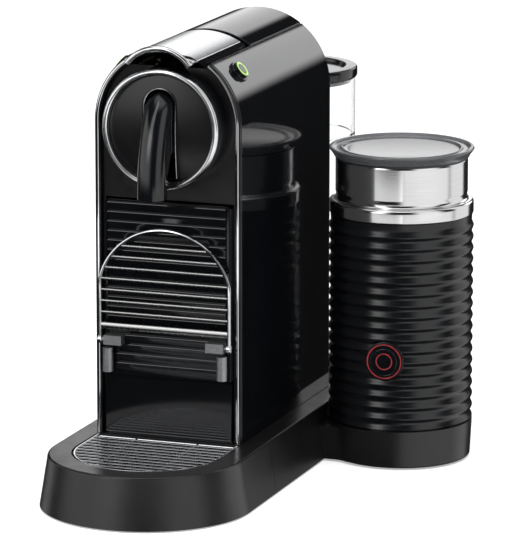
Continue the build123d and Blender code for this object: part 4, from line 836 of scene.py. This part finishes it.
def studio():
    """World light by direction: softboxes as smooth-edged patches of azimuth and elevation.

    Azimuth is 0 towards the front and grows towards +X; both angles are in degrees.
    Camera rays see a plain pale backdrop.
    """
    world = bpy.data.worlds.new("studio")
    bpy.context.scene.world = world
    world.use_nodes = True
    tree = world.node_tree
    tree.nodes.clear()
    way = add(tree, "ShaderNodeTexCoord").outputs["Generated"]
    axes = add(tree, "ShaderNodeSeparateXYZ", {"Vector": way}).outputs
    back = add(tree, "ShaderNodeMath", {0: axes[1], 1: -1.0}, operation="MULTIPLY").outputs[0]
    around = add(tree, "ShaderNodeMath", {0: axes[0], 1: back}, operation="ARCTAN2").outputs[0]
    upward = add(tree, "ShaderNodeMath", {0: axes[2]}, operation="ARCSINE").outputs[0]

    def patch(value, centre, half, soft, wrap):
        """1 within half of centre, fading to 0 over soft."""
        away = {0: value, 1: radians(centre)}
        offset = add(tree, "ShaderNodeMath", away, operation="SUBTRACT").outputs[0]
        if wrap:
            offset = add(tree, "ShaderNodeMath", {0: offset, 1: pi, 2: -pi}, operation="WRAP").outputs[0]
        reach = add(tree, "ShaderNodeMath", {0: offset}, operation="ABSOLUTE").outputs[0]
        fade = {"Value": reach, "From Min": radians(half), "From Max": radians(half + soft),
                "To Min": 1.0, "To Max": 0.0}
        return add(tree, "ShaderNodeMapRange", fade, interpolation_type="SMOOTHSTEP").outputs[0]

    total = DARK_LEVEL
    for azimuth, wide, soft_wide, height, tall, soft_tall, power in SOFTBOXES:
        across = patch(around, azimuth, wide, soft_wide, True)
        up = patch(upward, height, tall, soft_tall, False)
        both = add(tree, "ShaderNodeMath", {0: across, 1: up}, operation="MULTIPLY").outputs[0]
        more = {0: both, 1: power, 2: total}
        total = add(tree, "ShaderNodeMath", more, operation="MULTIPLY_ADD").outputs[0]
    seen = add(tree, "ShaderNodeLightPath").outputs["Is Camera Ray"]
    lit = add(tree, "ShaderNodeBackground", {"Color": (1, 1, 1, 1), "Strength": total}).outputs[0]
    plain = add(tree, "ShaderNodeBackground", {"Color": linear("#fbfbfb"), "Strength": 1.0}).outputs[0]
    mixed = add(tree, "ShaderNodeMixShader", {0: seen, 1: lit, 2: plain}).outputs[0]
    add(tree, "ShaderNodeOutputWorld", {"Surface": mixed})


# Light that comes from where there is no softbox.
DARK_LEVEL = 0.018
# azimuth, half width, edge; elevation, half height, edge; strength
SOFTBOXES = [
    (-46, 26, 26, 13, 13, 9, 1.4),
    (64, 12, 20, 21, 24, 8, 1.15),
    (64, 38, 16, -26, 17, 5, 1.1),
    (133, 16, 8, 2, 45, 12, 1.0),
    (165, 9, 2, 17, 7, 7, 2.1),
    (-165, 6, 5, 15, 10, 7, 1.5),
    (-22, 5, 8, 42, 20, 16, 2.6),
    (-118, 5, 8, 20, 30, 12, 0.7),
    (0, 180, 1, 84, 20, 14, 1.3),
]


def lamp(name, place, aim, wide, tall, watts, mirrored=False):
    """A softbox lamp; unless mirrored it only throws light and polished parts do not show it."""
    data = bpy.data.lights.new(name, "AREA")
    data.shape, data.size, data.size_y = "RECTANGLE", wide, tall
    data.energy = watts
    obj = bpy.data.objects.new(name, data)
    obj.location = place
    obj.rotation_euler = vector_turn(np.array(aim) - np.array(place))
    obj.visible_glossy = mirrored
    obj.visible_camera = False
    bpy.context.scene.collection.objects.link(obj)


def vector_turn(track):
    """Euler angles that point -Z along track with Y upwards."""
    level = np.hypot(track[0], track[1])
    return (atan2(level, -track[2]), 0, atan2(track[1], track[0]) - pi / 2)


def camera():
    """Lens and stand of the view: 20 degrees towards +X, 12 degrees above the counter."""
    azimuth, elevation = radians(19.959), radians(12.2246)
    distance = 2.84786
    aim = np.array([-0.021754, 0.01235, 0.120156])
    back = np.array([sin(azimuth) * cos(elevation), -cos(azimuth) * cos(elevation), sin(elevation)])
    data = bpy.data.cameras.new("camera")
    data.lens = 301.86
    data.sensor_width = 36.0
    data.clip_end = 20
    obj = bpy.data.objects.new("camera", data)
    obj.location = aim + back * distance
    obj.rotation_euler = vector_turn(-back)
    bpy.context.scene.collection.objects.link(obj)
    bpy.context.scene.camera = obj


ground()
studio()
lamp("overhead", (0.3, -0.5, 1.9), (0, 0, 0), 1.6, 1.6, 38)
# A low strip in front, placed so that only the frother mirrors it.
LOW_BOX = MACHINE + np.array([65.0, -330.0, 75.0]) * MM
lamp("low_strip", LOW_BOX, LOW_BOX + (0, 1, 0), 0.418, 0.052, 0.07, mirrored=True)
camera()
bpy.context.scene.view_settings.view_transform = "Standard"
